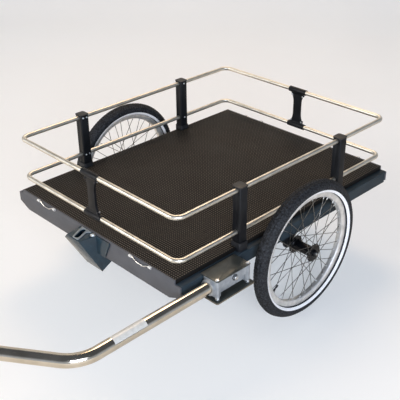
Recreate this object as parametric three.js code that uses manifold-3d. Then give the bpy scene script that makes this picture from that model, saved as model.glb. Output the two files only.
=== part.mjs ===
// Cargo bike trailer: flat deck, railing of two tube loops on four posts, two spoked wheels,
// one drawbar on the left side. Millimetres, +Z up. The origin is the middle of the deck's top
// face, -Y points to the bicycle and +X is the side that carries the drawbar.
import * as THREE from "three";
import { mergeVertices } from "three/addons/utils/BufferGeometryUtils.js";
import { ConvexGeometry } from "three/addons/geometries/ConvexGeometry.js";
import Module from "manifold-3d";

const wasm = await Module();
wasm.setup();

// Clearances
const seatGap = 0.3;
const slideGap = 0.3;
const cutOver = 2;

// Deck board
const deckWidth = 810;
const deckLength = 1060;
const deckThickness = 15;
const notchGap = 1.2;

// Side profiles
const ledgeWidth = 24;
const ledgeInside = 30;
const sideThickness = 3.5;
const sideHeight = 46;
const sideBeadHeight = 9;
const sideBeadDepth = 1.5;
const sideFoot = 32;
const sideCornerRadius = 3;

// Front and rear panels
const panelThickness = 5;
const panelOverhang = 1.5;
const panelDepth = 73;
const panelChamferWidth = 50;
const panelChamferHeight = 22;
const panelLip = 26;
const panelLipThickness = 3;

// Cross bearers under the deck
const bearerWidth = 40;
const bearerWall = 3;
const bearerInset = 75;

// Posts and their sockets
const postSize = 35;
const postRadius = 6;
const postWall = 2.5;
const postInsetX = 3;
const postClampGap = 40;
const postAboveRail = 9.6;
const socketWall = 3;
const socketTop = 16;
const capOverhang = 1.6;
const capThickness = 3.4;
const capLegDepth = 12;
const capLegThickness = 3;

// Rails
const railDiameter = 16;
const railInset = 12;
const railBendRadius = 32;
const railHeights = { lower: 52, upper: 200 };
const railSeam = 0.6;

// Hour-glass clips that join the two rails
const clipWidth = 82;
const clipWaist = 36;
const clipWeb = 4;
const clipSleeveWall = 3;
const clipRoundDepth = 46;
const clipScrewSpread = 26;
const clipScrewInset = 19;
const clipScrewDiameter = 4;

// Lashing bails
const bailSpan = 104;
const bailWire = 4.5;
const bailDrop = 10;
const bailShoulder = 6;
const bailRun = 26;
const bailBendRadius = 24;
const bailStation = 252;
const bailHeight = -2;
const ferruleDiameter = 8;
const ferruleLength = 11;
const ferruleSink = 0.6;
const bailPinLength = 7;

// Cast bracket in the middle of the front panel
const bracketTop = -5;
const bracketRearLeft = -56;
const bracketRearRight = 35;
const bracketReach = 66;
const bracketTaper = 12;
const bracketEdge = 14;
const bracketBulge = 12;
const bracketBulgeDrop = 70;
const bracketDrop = 143;
const bracketRun = 73;
const bracketFootTaper = 6;
const bracketEndRise = 37;
const bracketEndRun = 49;
const bracketWall = 5;
const bracketFlangeTop = 104;
const bracketFlangeFoot = 73;
const bracketFlangeHeight = 65;
const bracketFlangeThickness = 5;
const bracketFlangeRadius = 5;
const slotLength = 57;
const slotWidth = 18;
const slotAngle = 23;
const slotCentreX = -14.5;
const slotInset = 32.5;
const collarHeight = 3;
const collarRadius = 5;
const collarFrontInset = 62.5;
const collarRearInset = 2;
const collarFront = [-17, 14];
const collarRear = [-46, 7];
const collarNeck = -4;
const collarNeckInset = 17;
const bracketBoltX = 21;
const bracketBoltInset = 9;
const bracketBoltHead = 15;
const bracketBoltHeadHeight = 4;
const bracketBoltLength = 10;
const bracketBoltDiameter = 6;

// Drawbar clamp
const clampLength = 148;
const clampTyreGap = 41;
const clampWidth = 56;
const clampHeight = 57;
const clampBossRadius = 27;
const clampBossLength = 9;
const clampColumnRadius = 7.5;
const clampBoltDiameter = 5;
const clampBoltHead = 11;
const clampBoltHeadHeight = 3.5;
const clampNutWidth = 14;
const clampNutHeight = 8;
const clampBoltEnd = 3;
const clampBoltWall = 2;
const clampPocketHeight = 27;
const clampPocketDepth = 7;
const clampHollowHeight = 6;
const clampHollowInset = 8;
const clampLeg = 19;
const clampPlateThickness = 3;
const clampPlateOverhang = 1;
const clampBaseThickness = 5;
const clampBaseOverhang = 10;
const clampBaseOutboard = 14;
const clampTongue = 12;
const clampFoot = 30;

// Drawbar
const barDiameter = 40;
const barWall = 2;
const barOffset = 27.7;
const barInset = 5;
const barStraight = 335;
const barBendAngle = 55;
const barBendRadius = 110;
const barNoseX = 96;
const barNoseLength = 32;

// Locking pin in the clamp's outer side
const lockPinDiameter = 8;
const lockPinRise = 10;
const lockPinPlaceShare = 0.54;
const lockKnobDiameter = 15;
const lockKnobLength = 9;
const lockKnobNeck = 11.2;
const lockKnobNeckLength = 3;
const lockKnobChamfer = 1.5;

// Coupling at the drawbar's nose
const neckSpigot = 28;
const neckCollar = 14;
const journalDiameter = 16;
const swivelDiameter = 34;
const swivelLength = 40;
const swivelFloor = 7;
const tangThickness = 14;
const tangClear = 1.5;
const tangHeight = 28;
const forkCheek = 9;
const forkGap = 0.5;
const forkRunClear = 1.2;
const forkBlock = 34;
const pivotDiameter = 10;
const couplingPinDiameter = 9;
const couplingPinRise = 12;
const couplingPinInset = 1;
const couplingPinCollar = 16;
const pinRingDiameter = 30;
const pinRingWire = 3.5;

// Axle beam and hangers
const axleDrop = 38.7;
const axleBeamDiameter = 30;
const axleBeamEndGap = 0.6;
const hangerInset = 33;
const hangerThickness = 6;
const hangerTopWidth = 124;
const hangerLobe = 26;
const hangerFlange = 27;
const hangerFlangeThickness = 4;
const hangerShoulder = 12;
const hangerBoltHead = 11.5;
const hangerBoltHeadHeight = 4;

// Wheels
const wheelOut = 46;
const tyreRadius = 251;
const tyreHalfWidth = 24.2;
const tyreDepth = 48;
const tyreWall = 2;
const tyreTread = 6;
const tyreCrownShares = [[0.75, 0.68], [1, 0.16]];
const rimFlange = 6;
const rimDepth = 20;
const rimHalfWidth = 12.5;
const rimWall = 2;
const rimShoulder = 6;
const hubFlangeRadius = 32;
const hubFlangeOut = 34;
const hubFlangeIn = 43;
const hubFlangeThickness = 4;
const hubNeckRadius = 21;
const hubBarrelRadius = 18;
const hubEndRadius = 12;
const hubEndLength = 3;
const axleDiameter = 12;
const axleGrip = 41;
const axleHeadDiameter = 24;
const axleHeadLength = 8;
const axleHeadChamfer = 2;
const axleButtonDiameter = 8;
const axleButtonOut = 4;
const axleButtonDepth = 4.5;
const axleSpringRoom = 4;
const axleChamfer = 1.2;
const buttonChamfer = 1;
const spokeDiameter = 2;
const spokesPerSide = 18;
const spokeCrossings = 3;
const spokeHoleInset = 4;
const spokeRimSpread = 2;
const spokeSpread = 3.2;
const valveDiameter = 6;
const valveLength = 30;
const valveAngle = -150;

// Round screw heads, as shares of the head's radius and height from the rim to the crown
const screwHeadShares = [[1, 0.33], [0.75, 0.8], [0, 1]];

// How finely round shapes are divided
const wheelSegments = 36;
const hubSegments = 14;
const railSides = 10;
const barSides = 14;
const boreSides = 22;
const holeSides = 14;
const boltSides = 8;
const wireSides = 6;
const hexSides = 6;
const spokeSides = 4;

// Places that follow from the sizes above
const ledgeZ = -deckThickness - seatGap;
const sideOuterX = deckWidth / 2 + ledgeWidth;
const sideBottomZ = ledgeZ - sideHeight;
const panelInnerY = deckLength / 2 + seatGap;
const panelFaceY = panelInnerY + panelThickness;
const bearerReach = deckLength / 2 - bearerInset;
const postStationX = deckWidth / 2 - postInsetX;
const postTop = railHeights.upper + postAboveRail;
const railStationX = postStationX;
const railStationY = deckLength / 2 - railInset;
const clampInnerX = sideOuterX + seatGap;
const clampOuterX = clampInnerX + clampWidth;
const clampTopZ = ledgeZ;
const clampBottomZ = clampTopZ - clampHeight;
const clampBaseZ = clampBottomZ - seatGap - clampNutHeight - seatGap;
const clampRear = -(tyreRadius + clampTyreGap);
const clampFront = clampRear - clampLength;
const postStationY = -clampRear - postClampGap;
const barX = clampInnerX + barOffset;
const barZ = clampTopZ - barOffset;
const clampBoltX = barX + barDiameter / 2 + 2 * slideGap + clampBoltWall + clampBoltDiameter / 2;
const clampBoltYs = [clampFront + clampColumnRadius, clampRear - clampColumnRadius];
const lockPinY = clampFront + clampLength * lockPinPlaceShare;
const lockPinZ = barZ + lockPinRise;
const postBaseZ = ledgeZ + seatGap;
const bailY = panelFaceY + ferruleDiameter / 2 - ferruleSink;
const bracketBoltY = -panelFaceY - bracketBoltInset;
const barBendStart = -deckLength / 2 - barStraight;
const barBend = THREE.MathUtils.degToRad(barBendAngle);
const barTrim = barBendRadius * Math.tan(barBend / 2);
const barNoseCornerY = barBendStart - barTrim - (barX - barNoseX) / Math.tan(barBend);
const barNoseY = barNoseCornerY - barTrim - barNoseLength;
const neckFaceY = barNoseY - seatGap - neckCollar;
const swivelFrontY = neckFaceY - seatGap - swivelLength;
const pivotY = swivelFrontY - tangHeight / 2 - tangClear;
const axleZ = sideBottomZ - axleDrop;
const hangerX = sideOuterX - hangerInset;
const tyreBeadRadius = tyreRadius - tyreDepth;
const rimOuterRadius = tyreBeadRadius + rimFlange;
const rimInnerRadius = rimOuterRadius - rimDepth;
const wheelX = sideOuterX + wheelOut;
const hubBore = axleDiameter + 2 * slideGap;
const hubInnerX = wheelX - hubFlangeIn - hubEndLength;
const hubOuterX = wheelX + hubFlangeOut + hubEndLength;

// Finishes
const finish = {
  board: { color: 0x2b2722, roughness: 0.8, metalness: 0 },
  profile: { color: 0x3f4851, roughness: 0.5, metalness: 0.4 },
  panel: { color: 0x66666a, roughness: 0.55, metalness: 0.3 },
  frame: { color: 0x2b2f34, roughness: 0.55, metalness: 0.3 },
  post: { color: 0x1a1a1d, roughness: 0.5, metalness: 0.2 },
  plastic: { color: 0x1c1c1f, roughness: 0.6, metalness: 0 },
  stainless: { color: 0xc9c6bf, roughness: 0.18, metalness: 1 },
  zinc: { color: 0xb9bbbd, roughness: 0.35, metalness: 1 },
  casting: { color: 0x8f9aa6, roughness: 0.5, metalness: 0.6 },
  bracket: { color: 0x4c5862, roughness: 0.55, metalness: 0.4 },
  collar: { color: 0x9aa09c, roughness: 0.5, metalness: 0.2 },
  tyre: { color: 0x1b1a19, roughness: 0.85, metalness: 0 },
  rim: { color: 0xb4b4b2, roughness: 0.3, metalness: 1 },
  hub: { color: 0x131315, roughness: 0.4, metalness: 0.5 },
};

const trailer = new THREE.Group();

// Adds one named piece to the trailer, or to a group of its own
function addPiece(name, geometry, look, parent = trailer) {
  const mesh = new THREE.Mesh(geometry, new THREE.MeshStandardMaterial(look));
  mesh.name = name;
  parent.add(mesh);
  return mesh;
}

// A geometry as a solid that can be joined and cut
function toSolid(geometry) {
  const bare = geometry.index ? geometry.toNonIndexed() : geometry.clone();
  for (const key of Object.keys(bare.attributes)) {
    if (key !== "position") bare.deleteAttribute(key);
  }
  const merged = mergeVertices(bare);
  const mesh = new wasm.Mesh({
    numProp: 3,
    vertProperties: new Float32Array(merged.attributes.position.array),
    triVerts: new Uint32Array(merged.index.array),
  });
  mesh.merge();
  return new wasm.Manifold(mesh);
}

// A solid as a geometry again
function toGeometry(solid) {
  const mesh = solid.getMesh();
  const geometry = new THREE.BufferGeometry();
  geometry.setAttribute("position", new THREE.BufferAttribute(new Float32Array(mesh.vertProperties), 3));
  geometry.setIndex(new THREE.BufferAttribute(new Uint32Array(mesh.triVerts), 1));
  geometry.computeVertexNormals();
  return geometry;
}

// Joins the first list of geometries and cuts the second list from them
function carve(added, removed = []) {
  let solid = toSolid(added[0]);
  for (const geometry of added.slice(1)) solid = solid.add(toSolid(geometry));
  for (const geometry of removed) solid = solid.subtract(toSolid(geometry));
  return toGeometry(solid);
}

// A box between two corners
function boxBetween(low, high) {
  const size = high.map((value, i) => value - low[i]);
  const box = new THREE.BoxGeometry(...size);
  return box.translate(...low.map((value, i) => (value + high[i]) / 2));
}

// A closed outline from corner points, each with its own round where a radius is given
function outline(points) {
  const shape = new THREE.Shape();
  const count = points.length;
  points.forEach(([x, y, radius = 0], i) => {
    const corner = new THREE.Vector2(x, y);
    const before = new THREE.Vector2(...points[(i + count - 1) % count]);
    const after = new THREE.Vector2(...points[(i + 1) % count]);
    const towardsBefore = before.sub(corner).normalize();
    const towardsAfter = after.sub(corner).normalize();
    const halfAngle = towardsBefore.angleTo(towardsAfter) / 2;
    const trim = radius / Math.tan(halfAngle);
    const start = corner.clone().addScaledVector(towardsBefore, trim);
    const end = corner.clone().addScaledVector(towardsAfter, trim);
    if (i === 0) shape.moveTo(start.x, start.y);
    else shape.lineTo(start.x, start.y);
    if (radius > 0) shape.quadraticCurveTo(corner.x, corner.y, end.x, end.y);
  });
  shape.closePath();
  return shape;
}

// A rectangle with round corners, centred on the origin
function roundedRectangle(width, height, radius) {
  const w = width / 2;
  const h = height / 2;
  return outline([[-w, -h, radius], [w, -h, radius], [w, h, radius], [-w, h, radius]]);
}

// Extrudes an outline drawn in (x, y) along +Z from a start height
function extrudeZ(shape, start, length, curveSegments = 4) {
  const body = new THREE.ExtrudeGeometry(shape, { depth: length, bevelEnabled: false, curveSegments });
  return body.translate(0, 0, start);
}

// Extrudes an outline drawn in (x, z) along +Y from a start station
function extrudeY(shape, start, length, curveSegments = 4) {
  const body = new THREE.ExtrudeGeometry(shape, { depth: length, bevelEnabled: false, curveSegments });
  return body.rotateX(Math.PI / 2).translate(0, start + length, 0);
}

// Extrudes an outline drawn in (y, z) along +X from a start station
function extrudeX(shape, start, length, curveSegments = 4) {
  const body = new THREE.ExtrudeGeometry(shape, { depth: length, bevelEnabled: false, curveSegments });
  return body.rotateX(Math.PI / 2).rotateZ(Math.PI / 2).translate(start, 0, 0);
}

// A body of revolution round +Z from points (radius, height)
function revolve(points, segments) {
  return new THREE.LatheGeometry(points.map(([r, z]) => new THREE.Vector2(r, z)), segments)
    .rotateX(Math.PI / 2);
}

// A ring revolved from a closed loop of (radius, height) that starts on top and runs outwards
function revolveRing(loop, segments) {
  const points = loop.slice().reverse();
  return revolve([...points, points[0]], segments);
}

// Turns a body made along +Z so that it lies along +X or +Y
const alongX = (geometry) => geometry.rotateY(Math.PI / 2);
const alongY = (geometry) => geometry.rotateX(-Math.PI / 2);

// A solid round bar along +Z
function bar(diameter, start, end, segments) {
  return revolve([[0, start], [diameter / 2, start], [diameter / 2, end], [0, end]], segments);
}

// A washer or plain ring along +Z
function ring(inner, outer, start, end, segments) {
  return revolve([[inner, start], [outer, start], [outer, end], [inner, end], [inner, start]], segments);
}

// A round-headed screw: the head's underside at zero, the shank down -Z
function roundScrew(diameter, length, headDiameter, headHeight) {
  const head = headDiameter / 2;
  return revolve([
    [0, -length],
    [diameter / 2, -length],
    [diameter / 2, 0],
    [head, 0],
    ...screwHeadShares.map(([across, up]) => [head * across, headHeight * up]),
  ], boltSides);
}

// A tube's centre line: straight runs joined by round bends, divided only where it turns
class BentLine extends THREE.Curve {
  constructor(corners, radius, divisions) {
    super();
    this.stations = [];
    corners.forEach((corner, i) => {
      const before = corners[i - 1];
      const after = corners[i + 1];
      if (!before || !after) {
        const along = before ? corner.clone().sub(before) : after.clone().sub(corner);
        this.stations.push({ point: corner, tangent: along.normalize() });
        return;
      }
      const entering = corner.clone().sub(before).normalize();
      const leaving = after.clone().sub(corner).normalize();
      const turn = entering.angleTo(leaving);
      const trim = radius * Math.tan(turn / 2);
      const start = corner.clone().addScaledVector(entering, -trim);
      const side = leaving.clone().addScaledVector(entering, -Math.cos(turn)).normalize();
      for (let step = 0; step <= divisions; step += 1) {
        const angle = (turn * step) / divisions;
        this.stations.push({
          point: start.clone()
            .addScaledVector(entering, radius * Math.sin(angle))
            .addScaledVector(side, radius * (1 - Math.cos(angle))),
          tangent: entering.clone().multiplyScalar(Math.cos(angle)).addScaledVector(side, Math.sin(angle)),
        });
      }
    });
    this.steps = this.stations.length - 1;
  }

  station(share) {
    return this.stations[Math.round(share * this.steps)];
  }

  getPoint(share, target = new THREE.Vector3()) {
    return target.copy(this.station(share).point);
  }

  getPointAt(share, target = new THREE.Vector3()) {
    return this.getPoint(share, target);
  }

  getTangentAt(share, target = new THREE.Vector3()) {
    return target.copy(this.station(share).tangent);
  }
}

// A circle as a closed outline of straight sides
function circle(diameter, sides, target = new THREE.Shape()) {
  const points = [];
  for (let i = 0; i < sides; i += 1) {
    const angle = (2 * Math.PI * i) / sides;
    points.push(new THREE.Vector2(Math.cos(angle), Math.sin(angle)).multiplyScalar(diameter / 2));
  }
  return target.setFromPoints(points);
}

// A round rod or wire along a bent line
function bentRod(line, diameter, sides) {
  return new THREE.ExtrudeGeometry(circle(diameter, sides), { steps: line.steps, extrudePath: line });
}

// A round tube along a bent line
function bentTube(line, diameter, wall, sides) {
  const section = circle(diameter, sides);
  section.holes.push(circle(diameter - 2 * wall, sides, new THREE.Path()));
  return new THREE.ExtrudeGeometry(section, { steps: line.steps, extrudePath: line });
}

// Deck board, notched round the four post sockets
function addDeck() {
  const half = { x: deckWidth / 2, y: deckLength / 2 };
  const socketHalf = postSize / 2 + slideGap + socketWall + notchGap;
  const notches = [];
  for (const sx of [-1, 1]) {
    for (const sy of [-1, 1]) {
      const x = sx * postStationX;
      const y = sy * postStationY;
      notches.push(boxBetween(
        [x - socketHalf, y - socketHalf, -deckThickness - cutOver],
        [x + socketHalf, y + socketHalf, cutOver],
      ));
    }
  }
  const board = boxBetween([-half.x, -half.y, -deckThickness], [half.x, half.y, 0]);
  addPiece("deck_board", carve([board], notches), finish.board);
}

// Side profile: a C section with the ledge on top, a bead along its outer edge and a foot below
function addSideProfile(name, side) {
  const inner = deckWidth / 2 - ledgeInside;
  const face = sideOuterX - sideBeadDepth;
  const beadBottom = ledgeZ - sideBeadHeight;
  const section = outline([
    [inner, ledgeZ],
    [sideOuterX, ledgeZ, sideCornerRadius / 2],
    [sideOuterX, beadBottom, sideBeadDepth / 2],
    [face, beadBottom - sideBeadDepth],
    [face, sideBottomZ, sideCornerRadius],
    [face - sideFoot, sideBottomZ],
    [face - sideFoot, sideBottomZ + sideThickness],
    [face - sideThickness, sideBottomZ + sideThickness],
    [face - sideThickness, ledgeZ - sideThickness],
    [inner, ledgeZ - sideThickness],
  ]);
  const body = extrudeY(section, -deckLength / 2, deckLength, 3);
  if (side < 0) body.rotateZ(Math.PI);
  addPiece(name, body, finish.profile);
}

// Ferrules on a panel's face that hold the bails' ends, two to a bail
function ferrules() {
  const floor = ferruleLength - bailPinLength - seatGap;
  const bodies = [];
  const bores = [];
  for (const x of [-bailStation, bailStation]) {
    for (const side of [-1, 1]) {
      const body = alongX(bar(ferruleDiameter, 0, ferruleLength, boltSides));
      const bore = alongX(bar(bailWire + 2 * slideGap, floor, ferruleLength + cutOver, boltSides));
      for (const [list, shape] of [[bodies, body], [bores, bore]]) {
        if (side > 0) shape.rotateZ(Math.PI);
        list.push(shape.translate(x + (side * bailSpan) / 2, -bailY, bailHeight));
      }
    }
  }
  return { bodies, bores };
}

// End panel: a plate that closes the profiles' ends, with a folded lip along its lower edge
function addEndPanel(name, side) {
  const wide = sideOuterX + panelOverhang;
  const deckHalf = deckWidth / 2;
  const plate = outline([
    [-deckHalf, 0],
    [-deckHalf, ledgeZ, sideCornerRadius],
    [-wide, ledgeZ, sideCornerRadius],
    [-wide, panelChamferHeight - panelDepth],
    [panelChamferWidth - wide, -panelDepth, sideCornerRadius],
    [wide - panelChamferWidth, -panelDepth, sideCornerRadius],
    [wide, panelChamferHeight - panelDepth],
    [wide, ledgeZ, sideCornerRadius],
    [deckHalf, ledgeZ, sideCornerRadius],
    [deckHalf, 0],
  ]);
  const lipHalf = wide - panelChamferWidth - sideCornerRadius;
  const { bodies, bores } = ferrules();
  const body = carve([
    extrudeY(plate, -panelFaceY, panelThickness, 3),
    boxBetween(
      [-lipHalf, -panelInnerY - panelThickness / 2, -panelDepth],
      [lipHalf, -panelInnerY + panelLip, -panelDepth + panelLipThickness],
    ),
    ...bodies,
  ], bores);
  if (side > 0) body.rotateZ(Math.PI);
  addPiece(name, body, finish.panel);
}

// Cross bearer: a channel open below, coped at both ends to nest in the side profiles
function addBearer(name, y) {
  const inner = deckWidth / 2 - ledgeInside - seatGap;
  const outer = sideOuterX - sideBeadDepth - sideThickness - seatGap;
  const underLedge = ledgeZ - sideThickness - seatGap;
  const bottom = sideBottomZ + sideThickness + seatGap;
  const side = outline([
    [-inner, ledgeZ],
    [-inner, underLedge],
    [-outer, underLedge],
    [-outer, bottom],
    [outer, bottom],
    [outer, underLedge],
    [inner, underLedge],
    [inner, ledgeZ],
  ]);
  const half = bearerWidth / 2;
  const channel = boxBetween(
    [-outer - cutOver, y - half + bearerWall, bottom - cutOver],
    [outer + cutOver, y + half - bearerWall, underLedge - bearerWall],
  );
  addPiece(name, carve([extrudeY(side, y - half, bearerWidth)], [channel]), finish.frame);
}

// Axle beam: a round tube that carries a push-in axle in each end
function addAxleBeam() {
  const bore = hubBore / 2;
  const outer = axleBeamDiameter / 2;
  const half = hubInnerX - axleBeamEndGap;
  const beam = alongX(ring(bore, outer, -half, half, hubSegments));
  addPiece("axle_beam", beam.translate(0, 0, axleZ), finish.frame);
}

// Axle hanger: a tapering web plate round the beam, with a flange bolted under the side profile
function addAxleHanger(name, side) {
  const top = sideBottomZ - seatGap;
  const half = hangerTopWidth / 2;
  const web = new THREE.Shape();
  web.moveTo(-half, top);
  web.lineTo(-half, top - hangerShoulder);
  web.lineTo(-hangerLobe, axleZ);
  web.absarc(0, axleZ, hangerLobe, Math.PI, 2 * Math.PI, false);
  web.lineTo(half, top - hangerShoulder);
  web.lineTo(half, top);
  web.closePath();
  const clear = alongX(bar(axleBeamDiameter + 2 * slideGap, hangerX - cutOver,
    hangerX + hangerThickness + cutOver, boreSides));
  const under = top - hangerFlangeThickness;
  const boltX = hangerX + hangerThickness + (hangerFlange - hangerThickness) / 2;
  const head = () => bar(hangerBoltHead, under - hangerBoltHeadHeight, top - seatGap, hexSides);
  const heads = [-1, 1].map((end) => head().translate(boltX, end * (half - hangerBoltHead), 0));
  const body = carve([
    extrudeX(web, hangerX, hangerThickness, 8),
    boxBetween([hangerX, -half, under], [hangerX + hangerFlange, half, top]),
    ...heads,
  ], [clear.translate(0, 0, axleZ)]);
  if (side < 0) body.rotateZ(Math.PI);
  addPiece(name, body, finish.frame);
}

// Round holes through a post where the two rails pass
function railHoles(x, y, half) {
  return Object.values(railHeights).map((height) => alongY(
    bar(railDiameter + 2 * slideGap, -half - cutOver, half + cutOver, holeSides),
  ).translate(x, y, height));
}

// Post: a square tube with round corners, standing in its socket, cross-drilled for the rails
function addPost(name, x, y) {
  const shape = roundedRectangle(postSize, postSize, postRadius);
  const inside = postSize - 2 * postWall;
  shape.holes.push(roundedRectangle(inside, inside, postRadius - postWall));
  const tube = extrudeZ(shape, postBaseZ, postTop - postBaseZ, 3).translate(x, y, 0);
  addPiece(name, carve([tube], railHoles(x, y, postSize / 2)), finish.post);
}

// Socket: a low sleeve on the ledge that the post stands in
function addPostSocket(name, x, y) {
  const outer = postSize + 2 * (slideGap + socketWall);
  const inner = postSize + 2 * slideGap;
  const shape = roundedRectangle(outer, outer, postRadius + socketWall);
  shape.holes.push(roundedRectangle(inner, inner, postRadius));
  addPiece(name, extrudeZ(shape, postBaseZ, socketTop - postBaseZ, 3).translate(x, y, 0), finish.plastic);
}

// Cap: a plate a little wider than the post, with two legs that clip in beside the upper rail
function addPostCap(name, x, y) {
  const wide = postSize + 2 * capOverhang;
  const base = postTop + seatGap;
  const legOut = postSize / 2 - postWall - slideGap;
  const legHalf = (postSize - 2 * postRadius) / 2;
  const plate = extrudeZ(roundedRectangle(wide, wide, postRadius + capOverhang), base, capThickness, 4);
  const legs = [-1, 1].map((side) => boxBetween(
    [Math.min(side * legOut, side * (legOut - capLegThickness)), -legHalf, base - capLegDepth],
    [Math.max(side * legOut, side * (legOut - capLegThickness)), legHalf, base + capThickness / 2],
  ));
  addPiece(name, carve([plate, ...legs]).translate(x, y, 0), finish.plastic);
}

// Rail: one bent tube whose ends meet inside the rear clip
function addRail(name, height) {
  const x = railStationX;
  const y = railStationY;
  const half = railSeam / 2;
  const line = new BentLine([
    new THREE.Vector3(half, y, height),
    new THREE.Vector3(x, y, height),
    new THREE.Vector3(x, -y, height),
    new THREE.Vector3(-x, -y, height),
    new THREE.Vector3(-x, y, height),
    new THREE.Vector3(-half, y, height),
  ], railBendRadius, 5);
  addPiece(name, bentRod(line, railDiameter, railSides), finish.stainless);
}

// Places of the four screws of a clip, as (x, z)
function clipScrewPlaces() {
  const low = railHeights.lower + clipScrewInset;
  const high = railHeights.upper - clipScrewInset;
  return [[-clipScrewSpread, low], [clipScrewSpread, low], [-clipScrewSpread, high], [clipScrewSpread, high]];
}

// Half of an hour-glass clip: a waisted web between two half sleeves round the rails
function addClipHalf(name, end, outward) {
  const w = clipWidth / 2;
  const waist = clipWaist / 2;
  const low = railHeights.lower;
  const high = railHeights.upper;
  const middle = (low + high) / 2;
  const web = new THREE.Shape();
  web.moveTo(-w, low);
  web.lineTo(w, low);
  web.quadraticCurveTo(waist, low + clipRoundDepth / 2, waist, middle - clipRoundDepth / 2);
  web.lineTo(waist, middle + clipRoundDepth / 2);
  web.quadraticCurveTo(waist, high - clipRoundDepth / 2, w, high);
  web.lineTo(-w, high);
  web.quadraticCurveTo(-waist, high - clipRoundDepth / 2, -waist, middle + clipRoundDepth / 2);
  web.lineTo(-waist, middle - clipRoundDepth / 2);
  web.quadraticCurveTo(-waist, low + clipRoundDepth / 2, -w, low);
  web.closePath();
  const sleeve = railDiameter / 2 + slideGap + clipSleeveWall;
  const bore = railDiameter / 2 + slideGap;
  const added = [extrudeY(web, seatGap / 2, clipWeb, 6)];
  const removed = [boxBetween(
    [-w - cutOver, -sleeve - cutOver, low - sleeve - cutOver],
    [w + cutOver, seatGap / 2, high + sleeve + cutOver],
  )];
  for (const height of [low, high]) {
    added.push(alongX(bar(2 * sleeve, -w, w, holeSides)).translate(0, 0, height));
    removed.push(alongX(bar(2 * bore, -w - cutOver, w + cutOver, holeSides)).translate(0, 0, height));
  }
  for (const [x, z] of clipScrewPlaces()) {
    const hole = alongY(bar(clipScrewDiameter + 2 * slideGap, -cutOver, clipWeb + cutOver, boltSides));
    removed.push(hole.translate(x, 0, z));
  }
  const body = carve(added, removed);
  if (outward !== 1) body.rotateZ(Math.PI);
  if (end < 0) body.rotateZ(Math.PI);
  addPiece(name, body.translate(0, end * railStationY, 0), finish.plastic);
}

// Lashing bail: a wire whose two ends turn into ferrules on the panel
function addBail(name, x, end) {
  const half = bailSpan / 2;
  const shoulder = half - ferruleLength;
  const line = new BentLine([
    new THREE.Vector3(-shoulder - bailPinLength, 0, 0),
    new THREE.Vector3(-shoulder + bailShoulder, 0, 0),
    new THREE.Vector3(-shoulder + bailRun, 0, -bailDrop),
    new THREE.Vector3(shoulder - bailRun, 0, -bailDrop),
    new THREE.Vector3(shoulder - bailShoulder, 0, 0),
    new THREE.Vector3(shoulder + bailPinLength, 0, 0),
  ], bailBendRadius, 3);
  const wire = bentRod(line, bailWire, wireSides);
  addPiece(name, wire.translate(x, end * bailY, bailHeight), finish.stainless);
}

// Corners of the cast bracket: a flat top in front of the panel and a foot that runs down and
// back below the panel; with an inset, the corners of the hollow inside its walls
function bracketPoints(inset) {
  const back = -panelFaceY - seatGap;
  const lean = Math.hypot(bracketRun, bracketDrop) / bracketDrop;
  const past = inset ? lean : 1;
  const front = back - bracketReach + inset * lean;
  const top = bracketTop - inset;
  const footY = front + bracketRun * past;
  const footZ = bracketTop - bracketDrop * past;
  const endY = footY + bracketEndRun + inset;
  const endZ = footZ + bracketEndRise;
  const bulgeY = front + (bracketRun * bracketBulgeDrop) / bracketDrop;
  const right = (y) => bracketRearRight + ((y - back) * bracketTaper) / bracketReach - inset;
  const left = bracketRearLeft + inset;
  const rear = inset ? back + cutOver : back;
  return [
    [left + bracketTaper, front, top],
    [right(front), front, top],
    [right(back), rear, top],
    [left, rear, top],
    [left, front, top - bracketEdge],
    [left - bracketBulge, bulgeY, bracketTop - bracketBulgeDrop],
    [left + bracketFootTaper, footY, footZ],
    [right(footY), footY, footZ],
    [right(endY), endY, endZ],
    [left + bracketFootTaper, endY, endZ],
  ].map((place) => new THREE.Vector3(...place));
}

// Outline of the slot in the bracket's top, turned about its own middle
function slotShape() {
  const middleY = -panelFaceY - seatGap - slotInset;
  const turn = THREE.MathUtils.degToRad(slotAngle);
  const reach = (slotLength - slotWidth) / 2;
  const stepX = -Math.sin(turn) * reach;
  const stepY = Math.cos(turn) * reach;
  const half = slotWidth / 2;
  const back = turn + Math.PI;
  const shape = new THREE.Shape();
  shape.absarc(slotCentreX + stepX, middleY + stepY, half, turn, back, false);
  shape.absarc(slotCentreX - stepX, middleY - stepY, half, back, turn + 2 * Math.PI, false);
  shape.closePath();
  return shape;
}

// Bracket with its slot, its bolt hole, and a flange that lies on the panel beside it
function addFrontBracket() {
  const back = -panelFaceY - seatGap;
  const flange = outline([
    [bracketRearRight - bracketWall, bracketTop],
    [bracketFlangeTop, bracketTop, bracketFlangeRadius],
    [bracketFlangeFoot, bracketTop - bracketFlangeHeight, bracketFlangeRadius],
    [bracketRearRight - bracketWall, bracketTop - bracketFlangeHeight],
  ]);
  const under = bracketTop - bracketWall - cutOver;
  const through = bracketWall + 2 * cutOver;
  const body = carve([
    new ConvexGeometry(bracketPoints(0)),
    extrudeY(flange, back - bracketFlangeThickness, bracketFlangeThickness, 3),
  ], [
    new ConvexGeometry(bracketPoints(bracketWall)),
    boxBetween([-deckWidth / 2, back, -panelDepth - seatGap], [deckWidth / 2, 0, 0]),
    extrudeZ(slotShape(), under, through, 6),
    bar(bracketBoltDiameter + 2 * slideGap, under, under + through, boltSides)
      .translate(bracketBoltX, bracketBoltY, 0),
  ]);
  addPiece("front_bracket", body, finish.bracket);
}

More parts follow.
